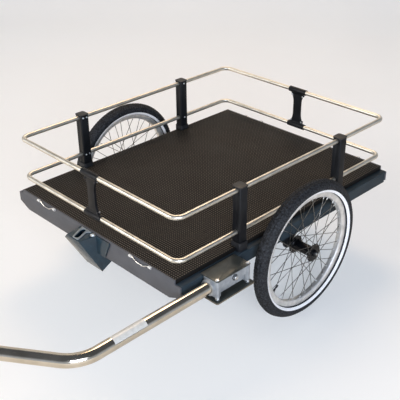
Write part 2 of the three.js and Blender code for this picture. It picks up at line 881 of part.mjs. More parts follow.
// Pale collar on the bracket's top, round the slot and out to the panel
function addBracketCollar() {
  const back = -panelFaceY - seatGap;
  const collar = outline([
    [collarFront[0], back - collarFrontInset, collarRadius],
    [collarFront[1], back - collarFrontInset, collarRadius],
    [collarNeck, back - collarNeckInset],
    [collarRear[1], back - collarRearInset],
    [collarRear[0], back - collarRearInset],
  ]);
  collar.holes.push(slotShape());
  addPiece("bracket_collar", extrudeZ(collar, bracketTop + seatGap, collarHeight, 6), finish.collar);
}

// Bolt down through the bracket's flat top
function addBracketBolt() {
  const bolt = roundScrew(bracketBoltDiameter, bracketBoltLength, bracketBoltHead, bracketBoltHeadHeight);
  addPiece("bracket_bolt", bolt.translate(bracketBoltX, bracketBoltY, bracketTop + seatGap), finish.zinc);
}

// Drawbar clamp: a cast block with a boss round the bore, two bolt columns, an open pocket
// below its outer face, and a foot that hooks under the side profile
function addClamp() {
  const plan = outline([
    [clampInnerX, clampFront, clampColumnRadius / 2],
    [clampOuterX, clampFront],
    [clampOuterX, clampRear],
    [clampInnerX, clampRear, clampColumnRadius / 2],
  ]);
  const bossFace = clampFront - clampBossLength;
  const boss = alongY(bar(2 * clampBossRadius, bossFace, clampFront + cutOver, holeSides));
  const footTop = sideBottomZ - seatGap;
  const added = [
    extrudeZ(plan, clampBottomZ, clampHeight),
    boss.translate(barX, 0, barZ),
    boxBetween([clampInnerX - clampFoot, clampFront, clampBottomZ],
      [clampInnerX + cutOver, clampRear, footTop]),
  ];
  const bore = alongY(bar(barDiameter + 2 * slideGap, bossFace - cutOver, clampRear + cutOver, boreSides));
  const pin = alongX(bar(lockPinDiameter + 2 * slideGap, barX, clampOuterX + cutOver, boltSides));
  const removed = [
    bore.translate(barX, 0, barZ),
    pin.translate(0, lockPinY, lockPinZ),
    boxBetween([clampOuterX - clampPocketDepth, clampFront + clampLeg, clampBottomZ - cutOver],
      [clampOuterX + cutOver, clampRear - clampLeg, clampBottomZ + clampPocketHeight]),
    boxBetween([clampInnerX + clampHollowInset, clampFront + clampLeg, clampBottomZ - cutOver],
      [clampOuterX, clampRear - clampLeg, clampBottomZ + clampHollowHeight]),
  ];
  for (const y of clampBoltYs) {
    added.push(bar(2 * clampColumnRadius, clampBottomZ, clampTopZ, holeSides).translate(clampBoltX, y, 0));
    removed.push(boltHole(clampBottomZ - cutOver, clampTopZ + cutOver, y));
  }
  addPiece("drawbar_clamp", carve(added, removed), finish.casting);
}

// Clearance hole of a clamp bolt
function boltHole(start, end, y) {
  return bar(clampBoltDiameter + 2 * slideGap, start, end, boltSides).translate(clampBoltX, y, 0);
}

// Plates above and below the clamp block; the upper one laps over the profile's ledge, and the
// lower one stands out all round below the nuts
function addClampPlates() {
  const outer = clampBoltX + clampColumnRadius + clampPlateOverhang;
  const plates = [
    ["clamp_top_plate", clampInnerX - clampTongue, outer, 0, clampTopZ + seatGap, clampPlateThickness],
    ["clamp_bottom_plate", clampInnerX - clampFoot, clampOuterX + clampBaseOutboard, clampBaseOverhang,
      clampBaseZ - clampBaseThickness, clampBaseThickness],
  ];
  for (const [name, inner, edge, overhang, base, thickness] of plates) {
    const plan = outline([
      [inner, clampFront - overhang, clampColumnRadius / 2],
      [edge, clampFront - overhang, clampColumnRadius],
      [edge, clampRear + overhang, clampColumnRadius],
      [inner, clampRear + overhang, clampColumnRadius / 2],
    ]);
    const holes = clampBoltYs.map((y) => boltHole(base - cutOver, base + thickness + cutOver, y));
    addPiece(name, carve([extrudeZ(plan, base, thickness)], holes), finish.frame);
  }
}

// Clamp bolts from above, each with a nut between the block and the bottom plate
function addClampBolts() {
  const headFace = clampTopZ + seatGap + clampPlateThickness + seatGap;
  const end = clampBaseZ - clampBaseThickness - clampBoltEnd;
  ["front", "rear"].forEach((place, i) => {
    const y = clampBoltYs[i];
    const bolt = roundScrew(clampBoltDiameter, headFace - end, clampBoltHead, clampBoltHeadHeight);
    addPiece(`clamp_bolt_${place}`, bolt.translate(clampBoltX, y, headFace), finish.zinc);
    const hole = bar(clampBoltDiameter + 2 * slideGap, -clampNutHeight - cutOver, cutOver, boltSides);
    const nut = carve([bar(clampNutWidth, -clampNutHeight, 0, hexSides)], [hole]);
    addPiece(`clamp_nut_${place}`, nut.translate(clampBoltX, y, clampBottomZ - seatGap), finish.zinc);
  });
}

// Locking pin with a turned knob, in the clamp's outer side
function addLockPin() {
  const tip = barX + barDiameter / 2 + slideGap;
  const face = clampOuterX + seatGap;
  const knob = lockKnobDiameter / 2;
  const neck = lockKnobNeck / 2;
  const pin = lockPinDiameter / 2;
  const body = alongX(revolve([
    [0, tip],
    [pin, tip],
    [pin, face],
    [neck, face],
    [neck, face + lockKnobNeckLength],
    [knob, face + lockKnobNeckLength],
    [knob, face + lockKnobLength - lockKnobChamfer],
    [knob - lockKnobChamfer, face + lockKnobLength],
    [0, face + lockKnobLength],
  ], boltSides));
  addPiece("lock_pin", body.translate(0, lockPinY, lockPinZ), finish.zinc);
}

// Drawbar: one bent tube, straight along the trailer's side and then in towards its middle
function addDrawbar() {
  const line = new BentLine([
    new THREE.Vector3(barX, clampRear - barInset, barZ),
    new THREE.Vector3(barX, barBendStart - barTrim, barZ),
    new THREE.Vector3(barNoseX, barNoseCornerY, barZ),
    new THREE.Vector3(barNoseX, barNoseY, barZ),
  ], barBendRadius, 5);
  addPiece("drawbar_tube", bentTube(line, barDiameter, barWall, barSides), finish.stainless);
}

// A body made along +Z, laid so that +Z points forwards from a station on the drawbar's nose
function onNose(geometry, y) {
  return geometry.rotateX(Math.PI / 2).translate(barNoseX, y, barZ);
}

// Neck: a plug in the tube's end, a collar and the journal that the swivel head turns on
function addNeck() {
  const spigot = barDiameter / 2 - barWall - 2 * slideGap;
  const journal = journalDiameter / 2;
  const end = seatGap + neckCollar + seatGap + swivelLength - swivelFloor - slideGap;
  const body = revolve([
    [0, -neckSpigot],
    [spigot, -neckSpigot],
    [spigot, seatGap],
    [barDiameter / 2, seatGap],
    [barDiameter / 2, seatGap + neckCollar],
    [journal, seatGap + neckCollar],
    [journal, end],
    [0, end],
  ], barSides);
  addPiece("coupling_neck", onNose(body, barNoseY), finish.zinc);
}

// Swivel head: a sleeve on the journal with a flat tang in front for the fork's pivot
function addSwivelHead() {
  const outer = swivelDiameter / 2;
  const chamfer = swivelFloor / 2;
  const bore = journalDiameter / 2 + slideGap;
  const sleeve = revolve([
    [bore, 0],
    [outer, 0],
    [outer, swivelLength - chamfer],
    [outer - chamfer, swivelLength],
    [0, swivelLength],
    [0, swivelLength - swivelFloor],
    [bore, swivelLength - swivelFloor],
    [bore, 0],
  ], barSides);
  const tang = new THREE.Shape();
  const half = tangHeight / 2;
  tang.moveTo(swivelFrontY + chamfer, barZ - half);
  tang.lineTo(swivelFrontY + chamfer, barZ + half);
  tang.lineTo(pivotY, barZ + half);
  tang.absarc(pivotY, barZ, half, Math.PI / 2, (3 * Math.PI) / 2, false);
  tang.closePath();
  const hole = alongX(bar(pivotDiameter + 2 * slideGap, -tangThickness, tangThickness, holeSides));
  const body = carve([
    onNose(sleeve, neckFaceY - seatGap),
    extrudeX(tang, barNoseX - tangThickness / 2, tangThickness, 6),
  ], [hole.translate(barNoseX, pivotY, barZ)]);
  addPiece("swivel_head", body, finish.casting);
}

// Fork: two cheeks beside the tang with the pivot between them, and a block for the pull-out pin
function addFork() {
  const inner = tangThickness / 2 + forkGap;
  const outer = inner + forkCheek;
  const half = tangHeight / 2;
  const blockRear = pivotY - half - forkRunClear;
  const blockFront = blockRear - forkBlock;
  const cheek = new THREE.Shape();
  cheek.moveTo(blockFront, barZ - half);
  cheek.lineTo(pivotY, barZ - half);
  cheek.absarc(pivotY, barZ, half, -Math.PI / 2, Math.PI / 2, false);
  cheek.lineTo(blockFront, barZ + half);
  cheek.closePath();
  const slot = boxBetween([barNoseX - inner, blockRear, barZ - half - cutOver],
    [barNoseX + inner, pivotY + half + cutOver, barZ + half + cutOver]);
  const solid = carve([extrudeX(cheek, barNoseX - outer, 2 * outer, 6)], [slot]);
  const pivot = alongX(bar(pivotDiameter, -outer - forkGap, outer + forkGap, boltSides));
  const pinBore = couplingPinDiameter + 2 * slideGap;
  const pinHole = bar(pinBore, barZ - half - cutOver, barZ + half + cutOver, holeSides);
  const body = carve([solid, pivot.translate(barNoseX, pivotY, barZ)],
    [pinHole.translate(barNoseX, blockRear - forkBlock / 2, 0)]);
  addPiece("coupling_fork", body, finish.casting);

  const base = barZ - half + couplingPinInset;
  const top = barZ + half + couplingPinRise;
  const shank = bar(couplingPinDiameter, base, top, boltSides);
  const collar = bar(couplingPinCollar, barZ + half + seatGap, barZ + half + pinRingWire, boltSides);
  const hoopRadius = (pinRingDiameter - pinRingWire) / 2;
  const hoop = new THREE.TorusGeometry(hoopRadius, pinRingWire / 2, wireSides, holeSides);
  hoop.rotateX(Math.PI / 2).translate(0, 0, top + hoopRadius - pinRingWire / 2);
  const pin = carve([shank, collar, hoop]);
  addPiece("coupling_pin", pin.translate(barNoseX, blockRear - forkBlock / 2, 0), finish.zinc);
}

// Tyre: an open shell whose beads sit in the rim's channel
function tyreGeometry() {
  const bead = rimHalfWidth - rimWall - slideGap;
  const middle = (tyreRadius + tyreBeadRadius) / 2;
  const w = tyreHalfWidth;
  const crown = tyreCrownShares.map(([up, across]) => [middle + (tyreRadius - middle) * up, w * across]);
  const side = [
    [tyreBeadRadius, bead - tyreWall],
    [tyreBeadRadius, bead],
    [rimOuterRadius + seatGap, bead],
    [middle, w],
    ...crown,
  ];
  const wall = [
    [tyreRadius - tyreTread, crown.at(-1)[1]],
    [middle, w - tyreWall],
    [rimOuterRadius + seatGap, bead - tyreWall],
  ];
  const mirrored = (points) => points.map(([r, z]) => [r, -z]);
  const loop = [...side, ...mirrored(side).reverse(), ...mirrored(wall).reverse(), ...wall];
  return revolveRing(loop, wheelSegments);
}

// Rim: flanges for the tyre, a well between them and a narrower spoke bed inside
function rimGeometry() {
  const w = rimHalfWidth;
  const bed = tyreBeadRadius - seatGap;
  const side = [
    [rimInnerRadius, w / 2],
    [rimInnerRadius + rimShoulder, w],
    [rimOuterRadius, w],
    [rimOuterRadius, w - rimWall],
    [bed, w - rimWall],
  ];
  const loop = [...side, ...side.map(([r, z]) => [r, -z]).reverse()];
  return revolveRing(loop, wheelSegments);
}

// A round rod between two points
function rod(start, end, diameter, sides) {
  const along = end.clone().sub(start);
  const body = bar(diameter, 0, along.length(), sides);
  const turn = new THREE.Quaternion().setFromUnitVectors(new THREE.Vector3(0, 0, 1), along.normalize());
  return body.applyQuaternion(turn).translate(...start);
}

// A point of the wheel at an angle and radius, with the wheel's axis along +Z
function wheelPoint(angle, radius, station) {
  return new THREE.Vector3(radius * Math.cos(angle), radius * Math.sin(angle), station);
}

// Spokes: every flange hole sends its spoke forwards or back across its neighbours
function spokeGeometries() {
  const pitch = (2 * Math.PI) / spokesPerSide;
  const holeRadius = hubFlangeRadius - spokeHoleInset;
  const startRadius = hubFlangeRadius + seatGap + spokeDiameter / 2;
  const rods = [];
  for (const [side, flange] of [[-1, hubFlangeIn], [1, hubFlangeOut]]) {
    for (let i = 0; i < spokesPerSide; i += 1) {
      const way = i % 2 ? 1 : -1;
      const rimAngle = pitch * (i + (2 - side) / 4);
      const hubAngle = rimAngle + way * spokeCrossings * pitch;
      const hole = wheelPoint(hubAngle, holeRadius, side * (flange + way * spokeSpread));
      const nipple = wheelPoint(rimAngle, rimInnerRadius + rimWall, side * spokeRimSpread);
      const across = nipple.clone().sub(hole);
      const flatLength = Math.hypot(across.x, across.y);
      const outward = (hole.x * across.x + hole.y * across.y) / flatLength;
      const reach = Math.sqrt(outward ** 2 + startRadius ** 2 - holeRadius ** 2) - outward;
      rods.push(rod(hole.addScaledVector(across, reach / flatLength), nipple, spokeDiameter, spokeSides));
    }
  }
  return rods;
}

// Hub: a waisted barrel between two flanges, longer on its inner side, bored for the axle
function hubGeometry() {
  const bore = hubBore / 2;
  const half = hubFlangeThickness / 2;
  const side = (flange) => [
    [bore, flange + hubEndLength],
    [hubEndRadius, flange + hubEndLength],
    [hubNeckRadius, flange + half],
    [hubFlangeRadius, flange + half],
    [hubFlangeRadius, flange - half],
    [hubNeckRadius, flange - half],
    [hubBarrelRadius, flange / 2],
  ];
  const inner = side(hubFlangeIn).map(([r, z]) => [r, -z]).reverse();
  return revolveRing([...side(hubFlangeOut), ...inner], hubSegments);
}

// Push-in axle: a shaft through hub and beam, with a head outside and a release button in it
function axleGeometries() {
  const start = hubInnerX - axleGrip;
  const headIn = hubOuterX + seatGap;
  const headOut = headIn + axleHeadLength;
  const bore = axleButtonDiameter / 2 + slideGap;
  const floor = headOut - axleButtonDepth - axleSpringRoom;
  const head = axleHeadDiameter / 2;
  const shaft = axleDiameter / 2;
  const button = axleButtonDiameter / 2;
  return {
    axle: revolve([
      [0, start],
      [shaft - axleChamfer, start],
      [shaft, start + axleChamfer],
      [shaft, headIn],
      [head, headIn],
      [head, headOut - axleHeadChamfer],
      [head - axleHeadChamfer, headOut],
      [bore, headOut],
      [bore, floor],
      [0, floor],
    ], hubSegments),
    button: revolve([
      [0, headOut - axleButtonDepth],
      [button, headOut - axleButtonDepth],
      [button, headOut + axleButtonOut - buttonChamfer],
      [button - buttonChamfer, headOut + axleButtonOut],
      [0, headOut + axleButtonOut],
    ], boltSides),
  };
}

// Wheel on one side: tyre, laced rim with its valve, hub, axle and release button
function addWheel(name, side) {
  const valve = THREE.MathUtils.degToRad(valveAngle);
  const laced = carve([
    rimGeometry(),
    ...spokeGeometries(),
    rod(
      wheelPoint(valve, rimInnerRadius - valveLength, 0),
      wheelPoint(valve, rimInnerRadius + rimWall, 0),
      valveDiameter,
      wireSides,
    ),
  ]);
  const { axle, button } = axleGeometries();
  const pieces = [
    [`tyre_${name}`, tyreGeometry(), wheelX, finish.tyre],
    [`spoked_rim_${name}`, laced, wheelX, finish.rim],
    [`hub_${name}`, hubGeometry(), wheelX, finish.hub],
    [`wheel_axle_${name}`, axle, 0, finish.hub],
    [`axle_button_${name}`, button, 0, finish.hub],
  ];
  for (const [node, geometry, x, look] of pieces) {
    const placed = geometry.rotateZ(Math.PI / 2);
    alongX(placed).translate(x, 0, axleZ);
    if (side < 0) placed.rotateZ(Math.PI);
    addPiece(node, placed, look);
  }
}

addDeck();
addSideProfile("side_profile_left", 1);
addSideProfile("side_profile_right", -1);
addEndPanel("front_panel", -1);
addEndPanel("rear_panel", 1);
addBearer("cross_bearer_front", -bearerReach);
addBearer("cross_bearer_middle", 0);
addBearer("cross_bearer_rear", bearerReach);
addAxleBeam();
addAxleHanger("axle_hanger_left", 1);
addAxleHanger("axle_hanger_right", -1);

for (const [sideName, sx] of [["left", 1], ["right", -1]]) {
  for (const [endName, sy] of [["front", -1], ["rear", 1]]) {
    const x = sx * postStationX;
    const y = sy * postStationY;
    addPost(`post_${endName}_${sideName}`, x, y);
    addPostSocket(`post_socket_${endName}_${sideName}`, x, y);
    addPostCap(`post_cap_${endName}_${sideName}`, x, y);
  }
}

addRail("lower_rail", railHeights.lower);
addRail("upper_rail", railHeights.upper);
for (const [endName, end] of [["front", -1], ["rear", 1]]) {
  addClipHalf(`rail_clip_${endName}_outer`, end, 1);
  addClipHalf(`rail_clip_${endName}_inner`, end, -1);
  addBail(`lashing_bail_${endName}_left`, bailStation, end);
  addBail(`lashing_bail_${endName}_right`, -bailStation, end);
}
addFrontBracket();
addBracketCollar();
addBracketBolt();
addClamp();
addClampPlates();
addClampBolts();
addLockPin();
addDrawbar();
addNeck();
addSwivelHead();
addFork();
addWheel("left", 1);
addWheel("right", -1);

export default trailer;
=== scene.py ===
"""Cargo bike trailer, dressed for the studio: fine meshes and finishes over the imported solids.

Shapes are in millimetres and turn into metres as their mesh is finished. +X is the near side with the
drawbar, -Y the front and +Z up, and the origin is the middle of the deck's top face.
"""

import math

import bmesh
import bpy
from mathutils import Matrix, Vector


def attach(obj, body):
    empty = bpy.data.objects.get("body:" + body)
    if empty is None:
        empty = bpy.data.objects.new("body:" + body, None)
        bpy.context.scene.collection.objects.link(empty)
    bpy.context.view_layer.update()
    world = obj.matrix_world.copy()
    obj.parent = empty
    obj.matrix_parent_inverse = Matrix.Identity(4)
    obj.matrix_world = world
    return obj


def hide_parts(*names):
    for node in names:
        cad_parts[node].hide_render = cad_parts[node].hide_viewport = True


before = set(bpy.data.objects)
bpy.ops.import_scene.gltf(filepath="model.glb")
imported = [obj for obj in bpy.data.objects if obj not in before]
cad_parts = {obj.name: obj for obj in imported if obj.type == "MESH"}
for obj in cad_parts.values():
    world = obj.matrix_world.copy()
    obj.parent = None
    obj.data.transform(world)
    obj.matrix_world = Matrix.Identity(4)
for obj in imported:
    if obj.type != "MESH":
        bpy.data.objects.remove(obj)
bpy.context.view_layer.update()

MM = 0.001
MM_PER_M = 1000
TAU = 2 * math.pi
SIDES = {"left": 1, "right": -1}
ENDS = {"front": -1, "rear": 1}


# Finishes
def to_linear(hex_colour):
    """An sRGB hex colour as the linear colour that a shader takes."""
    channels = [int(hex_colour[i:i + 2], 16) / 255 for i in (1, 3, 5)]
    return (*((c / 12.92 if c <= 0.04045 else ((c + 0.055) / 1.055) ** 2.4) for c in channels), 1.0)


def node(tree, kind, settings=(), links=()):
    """Adds a shader node, gives it its settings and links its inputs to other nodes' outputs."""
    made = tree.nodes.new("ShaderNode" + kind)
    for name, value in dict(settings).items():
        if isinstance(name, int) or name in made.inputs:
            made.inputs[name].default_value = value
        else:
            setattr(made, name, value)
    for name, (source, output) in dict(links).items():
        tree.links.new(source.outputs[output], made.inputs[name])
    return made


def start_finish(name, roughness, metallic=0.0, **more):
    """A new material with its shader and the object's own coordinates."""
    material = bpy.data.materials.new(name)
    material.use_nodes = True
    tree = material.node_tree
    shader = tree.nodes["Principled BSDF"]
    shader.inputs["Roughness"].default_value = roughness
    shader.inputs["Metallic"].default_value = metallic
    for socket, value in more.items():
        shader.inputs[socket.replace("_", " ")].default_value = value
    place = node(tree, "TexCoord")
    return material, tree, shader, place


def noise(tree, place, size_mm, detail):
    """A cloudy pattern with patches of about the given size."""
    return node(tree, "TexNoise", {"Scale": MM_PER_M / size_mm, "Detail": detail},
                {"Vector": (place, "Object")})


def mottle(tree, place, shader, dark, light, size_mm, low=0.35, high=0.65, detail=4.0):
    """Colour that drifts between two near shades, in patches of about the given size."""
    patches = noise(tree, place, size_mm, detail)
    ramp = node(tree, "ValToRGB", {}, {"Fac": (patches, "Fac")})
    for stop, position, colour in zip(ramp.color_ramp.elements, (low, high), (dark, light)):
        stop.position = position
        stop.color = to_linear(colour)
    tree.links.new(ramp.outputs["Color"], shader.inputs["Base Color"])
    return patches


def relief(tree, shader, source, output, height_mm):
    """Fine relief of a real height, from any pattern."""
    bump = node(tree, "Bump", {"Distance": height_mm * MM}, {"Height": (source, output)})
    tree.links.new(bump.outputs["Normal"], shader.inputs["Normal"])


def uneven_gloss(tree, shader, source, low, high):
    """Roughness that varies between two values with a pattern."""
    spread = node(tree, "MapRange", {"To Min": low, "To Max": high}, {"Value": (source, "Fac")})
    tree.links.new(spread.outputs["Result"], shader.inputs["Roughness"])


def wire_mesh_deck_board():
    """Film-faced birch plywood, hot-pressed against a wire mesh: a dark brown grip face of small raised
    squares over dark film valleys, the squares' tops painted paler as a painted highlight, patchy from square
    to square."""
    material, tree, shader, place = start_finish("wire_mesh_deck_board", roughness=0.75,
                                                 Specular_IOR_Level=0.22)
    # The real mesh is about 2 mm, drawn at 9 mm so that it shows from a few metres away
    pitch_mm = 9
    bands_per_unit = 20
    scale = TAU / (bands_per_unit * pitch_mm * MM)
    waves = [node(tree, "TexWave", {"bands_direction": axis, "Scale": scale, "Distortion": 0.0},
                  {"Vector": (place, "Object")}) for axis in ("X", "Y")]
    squares = node(tree, "Math", {"operation": "MULTIPLY"}, {0: (waves[0], "Fac"), 1: (waves[1], "Fac")})
    # The board's edges are plain
    facing = node(tree, "SeparateXYZ", {}, {"Vector": (place, "Normal")})
    upper = node(tree, "Math", {"operation": "MULTIPLY"}, {0: (squares, "Value"), 1: (facing, "Z")})
    tops = node(tree, "MapRange", {"From Min": 0.3, "From Max": 0.75}, {"Value": (upper, "Value")})
    drift = node(tree, "TexNoise", {"Scale": 7.0, "Detail": 6.0}, {"Vector": (place, "Object")})
    speck = noise(tree, place, size_mm=pitch_mm, detail=2.0)
    film = node(tree, "Mix", {"data_type": "RGBA", 6: to_linear("#0c0a08"), 7: to_linear("#15120f")},
                {0: (drift, "Fac")})
    # Painted highlight: the tops of the squares get this paler colour for the light they catch
    painted_highlight_tops = node(tree, "Mix", {"data_type": "RGBA", 6: to_linear("#433c35"), 7: to_linear("#756b5f")},
                {0: (speck, "Fac")})
    face = node(tree, "Mix", {"data_type": "RGBA"}, {0: (tops, "Result"), 6: (film, 2), 7: (painted_highlight_tops, 2)})
    tree.links.new(face.outputs[2], shader.inputs["Base Color"])
    uneven_gloss(tree, shader, drift, low=0.55, high=0.8)
    relief(tree, shader, tops, "Result", height_mm=0.8)
    return material


def powder_coat(name, dark, light, roughness, gloss=0.3):
    """Baked powder coat over aluminium or steel: an even colour with a faint orange-peel skin."""
    material, tree, shader, place = start_finish(name, roughness, Specular_IOR_Level=gloss)
    drift = mottle(tree, place, shader, dark, light, size_mm=60)
    peel = noise(tree, place, size_mm=1.4, detail=2.0)
    uneven_gloss(tree, shader, drift, low=roughness - 0.06, high=roughness + 0.08)
    relief(tree, shader, peel, "Fac", height_mm=0.05)
    return material


def moulded_plastic(name, dark, light, roughness):
    """Injection-moulded polypropylene or nylon: matt, with the fine grain of an etched mould."""
    material, tree, shader, place = start_finish(name, roughness)
    mottle(tree, place, shader, dark, light, size_mm=25)
    grain = node(tree, "TexVoronoi", {"Scale": MM_PER_M / 1.1}, {"Vector": (place, "Object")})
    relief(tree, shader, grain, "Distance", height_mm=0.06)
    return material


def polished_tube(name, dark, light, roughness):
    """Stainless or plated tube, belt polished along its length: mirror-bright with faint streaks
    and a few dull handling marks."""
    material, tree, shader, place = start_finish(name, roughness, metallic=1.0)
    marks = mottle(tree, place, shader, dark, light, size_mm=45, low=0.3, high=0.7)
    streaks = noise(tree, place, size_mm=2.0, detail=3.0)
    uneven_gloss(tree, shader, marks, low=roughness * 0.7, high=roughness * 1.5)
    relief(tree, shader, streaks, "Fac", height_mm=0.002)
    return material


def cast_aluminium(name, dark, light, roughness, metallic=0.0, lacquer=0.0):
    """Die-cast aluminium, tumbled and lacquered: a soft grey-blue with a fine sandy skin. A full lacquer
    mirrors the floor where it is seen edge on."""
    material, tree, shader, place = start_finish(name, roughness, metallic, Coat_Weight=lacquer,
                                                 Coat_Roughness=0.12, Specular_IOR_Level=0.5 - 0.45 * lacquer)
    mottle(tree, place, shader, dark, light, size_mm=18, low=0.3, high=0.7, detail=6.0)
    skin = noise(tree, place, size_mm=2.2, detail=6.0)
    uneven_gloss(tree, shader, skin, low=roughness - 0.08, high=roughness + 0.1)
    relief(tree, shader, skin, "Fac", height_mm=0.12)
    return material


def zinc_plate():
    """Bright zinc plate on steel fasteners: a pale blue-grey metal with a slightly cloudy passivation."""
    material, tree, shader, place = start_finish("zinc_plate", roughness=0.3, metallic=1.0)
    cloud = mottle(tree, place, shader, "#b3b6b8", "#dadcdc", size_mm=6)
    uneven_gloss(tree, shader, cloud, low=0.22, high=0.42)
    relief(tree, shader, cloud, "Fac", height_mm=0.03)
    return material


def passivated_steel(name, dark, light):
    """Cold-rolled steel plate, olive passivated: a dark brownish metal with a soft reflection and cloudy
    patches."""
    material, tree, shader, place = start_finish(name, roughness=0.35, metallic=0.3)
    cloud = mottle(tree, place, shader, dark, light, size_mm=30, low=0.3, high=0.7)
    uneven_gloss(tree, shader, cloud, low=0.28, high=0.42)
    rolling = noise(tree, place, size_mm=2.5, detail=3.0)
    relief(tree, shader, rolling, "Fac", height_mm=0.01)
    return material


def tyre_rubber():
    """Moulded tyre rubber: charcoal black with a little grey bloom in small patches and a fine moulded
    grit."""
    material, tree, shader, place = start_finish("tyre_rubber", roughness=0.72, Specular_IOR_Level=0.3)
    drift = mottle(tree, place, shader, "#0c0d0f", "#34363a", size_mm=6, low=0.4, high=0.64, detail=6.0)
    grit = noise(tree, place, size_mm=2.4, detail=4.0)
    uneven_gloss(tree, shader, drift, low=0.5, high=0.85)
    relief(tree, shader, grit, "Fac", height_mm=0.5)
    return material


def reflective_film(name, dark, light):
    """Retroreflective film: white, with the fine honeycomb of its glass-bead cells under a clear skin."""
    material, tree, shader, place = start_finish(name, roughness=0.32, Coat_Weight=0.4, Coat_Roughness=0.15)
    mottle(tree, place, shader, dark, light, size_mm=12)
    # Cells are about 2 mm across, drawn at 3 mm
    cells = node(tree, "TexVoronoi", {"feature": "DISTANCE_TO_EDGE", "Scale": MM_PER_M / 3.0},
                 {"Vector": (place, "Object")})
    relief(tree, shader, cells, "Distance", height_mm=0.04)
    return material


def anodised_rim():
    """Extruded rim, silver anodised: satin pale aluminium with fine drawing lines and faint
    handling clouds."""
    material, tree, shader, place = start_finish("anodised_rim", roughness=0.42, metallic=0.75)
    marks = mottle(tree, place, shader, "#d9d9d7", "#f2f1ee", size_mm=22)
    uneven_gloss(tree, shader, marks, low=0.32, high=0.5)
    lines = noise(tree, place, size_mm=1.5, detail=2.0)
    relief(tree, shader, lines, "Fac", height_mm=0.01)
    return material


def drawn_spoke_wire():
    """Drawn stainless spoke wire: thin and bright, with a slightly dull draw."""
    material, tree, shader, place = start_finish("drawn_spoke_wire", roughness=0.3, metallic=1.0)
    mottle(tree, place, shader, "#5e5c59", "#86847f", size_mm=15)
    return material


FINISH = {
    "deck": wire_mesh_deck_board(),
    "profile": powder_coat("powder_coat_blue_grey", "#2b353c", "#343f46", roughness=0.5, gloss=0.1),
    "panel": powder_coat("powder_coat_mid_grey", "#4f5054", "#56575b", roughness=0.55),
    "underframe": powder_coat("powder_coat_dark_grey", "#16181b", "#1f2226", roughness=0.5),
    "post": powder_coat("powder_coat_black", "#0f1013", "#181a1d", roughness=0.45, gloss=0.25),
    "black_plastic": moulded_plastic("moulded_polypropylene", "#141518", "#1e1f22", roughness=0.5),
    "polished_tube": polished_tube("polished_stainless_tube", "#d2cdc1", "#eae5d9", roughness=0.36),
    "drawbar_steel": polished_tube("plated_drawbar_tube", "#c9bfae", "#ded5c6", roughness=0.13),
    "bright_wire": polished_tube("bright_plated_wire", "#d2d1cf", "#ecebe7", roughness=0.18),
    "bracket": cast_aluminium("lacquered_casting", "#162a35", "#1e3541", roughness=0.5, lacquer=0.9),
    "collar": moulded_plastic("moulded_grey_nylon", "#7d8486", "#90979a", roughness=0.45),
    "casting": cast_aluminium("tumbled_casting", "#868a8d", "#9ea2a4", roughness=0.42, metallic=0.2),
    "plate": passivated_steel("olive_passivated_steel", "#3c3f3c", "#4c4f4b"),
    # The plate's upright faces: brown like bare cut steel, and painted paler than the plate's top as painted
    # light on the lit edges
    "plate_edge_painted_light": powder_coat("brown_edge_painted_light", "#5f5648", "#6f6655", roughness=0.5),
    "zinc": zinc_plate(),
    "tyre": tyre_rubber(),
    "rim": anodised_rim(),
    "hub": powder_coat("black_anodised", "#06070a", "#0d0e12", roughness=0.25, gloss=0.22),
    "spoke": drawn_spoke_wire(),
    "label": reflective_film("reflective_label", "#d0cec6", "#dedcd4"),
    "stripe": reflective_film("reflective_stripe", "#f6f6f6", "#fefefe"),
    "ferrule": moulded_plastic("moulded_white_nylon", "#cfcdc8", "#e3e1db", roughness=0.4),
}


# Mesh making
SHARP_FROM = 35.0
# Welding distance in metres, and angles in degrees that count as flat and as an edge to ease
WELD, FLAT_WITHIN, EASE_FROM = 2e-6, 1.0, 28.0
UPRIGHT_BELOW = 0.6


def add_piece(name, mesh, looks, body, stands_for, sharp_from=SHARP_FROM):
    """Puts a finished mesh into the scene, riding on its body."""
    obj = bpy.data.objects.new(name, mesh)
    bpy.context.scene.collection.objects.link(obj)
    mesh.materials.clear()
    for look in looks:
        mesh.materials.append(FINISH[look])
    mesh.shade_smooth()
    mesh.set_sharp_from_angle(angle=math.radians(sharp_from))
    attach(obj, body)
    if stands_for:
        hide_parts(*stands_for)


def shape(name, bm, look, body, stands_for=(), sharp_from=SHARP_FROM):
    """Makes a piece in metres, its faces pointing out, from a bmesh in millimetres."""
    bmesh.ops.recalc_face_normals(bm, faces=bm.faces)
    bmesh.ops.scale(bm, vec=(MM, MM, MM), verts=bm.verts)
    mesh = bpy.data.meshes.new(name)
    bm.to_mesh(mesh)
    bm.free()
    add_piece(name, mesh, [look], body, stands_for, sharp_from)


def eased(name, source, radius_mm, look, body, segments=2, upright=None):
    """The solid of a CAD node with its sharp edges eased to a real radius. A second look can go on the
    faces that stand upright."""
    bm = bmesh.new()
    bm.from_mesh(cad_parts[source].data)
    bmesh.ops.transform(bm, matrix=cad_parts[source].matrix_world, verts=bm.verts)
    bmesh.ops.remove_doubles(bm, verts=bm.verts, dist=WELD)
    bmesh.ops.dissolve_limit(bm, angle_limit=math.radians(FLAT_WITHIN), verts=bm.verts, edges=bm.edges)
    sharp = math.radians(EASE_FROM)
    edges = [e for e in bm.edges if len(e.link_faces) == 2 and e.calc_face_angle(0) > sharp]
    bmesh.ops.bevel(bm, geom=edges, offset=radius_mm * MM, segments=segments, profile=0.5,
                    affect="EDGES", clamp_overlap=True)
    mesh = bpy.data.meshes.new(name)
    bm.to_mesh(mesh)
    bm.free()
    add_piece(name, mesh, [look, upright] if upright else [look], body, (source,))
    if upright:
        for face in mesh.polygons:
            face.material_index = 1 if abs(face.normal.z) < UPRIGHT_BELOW else 0


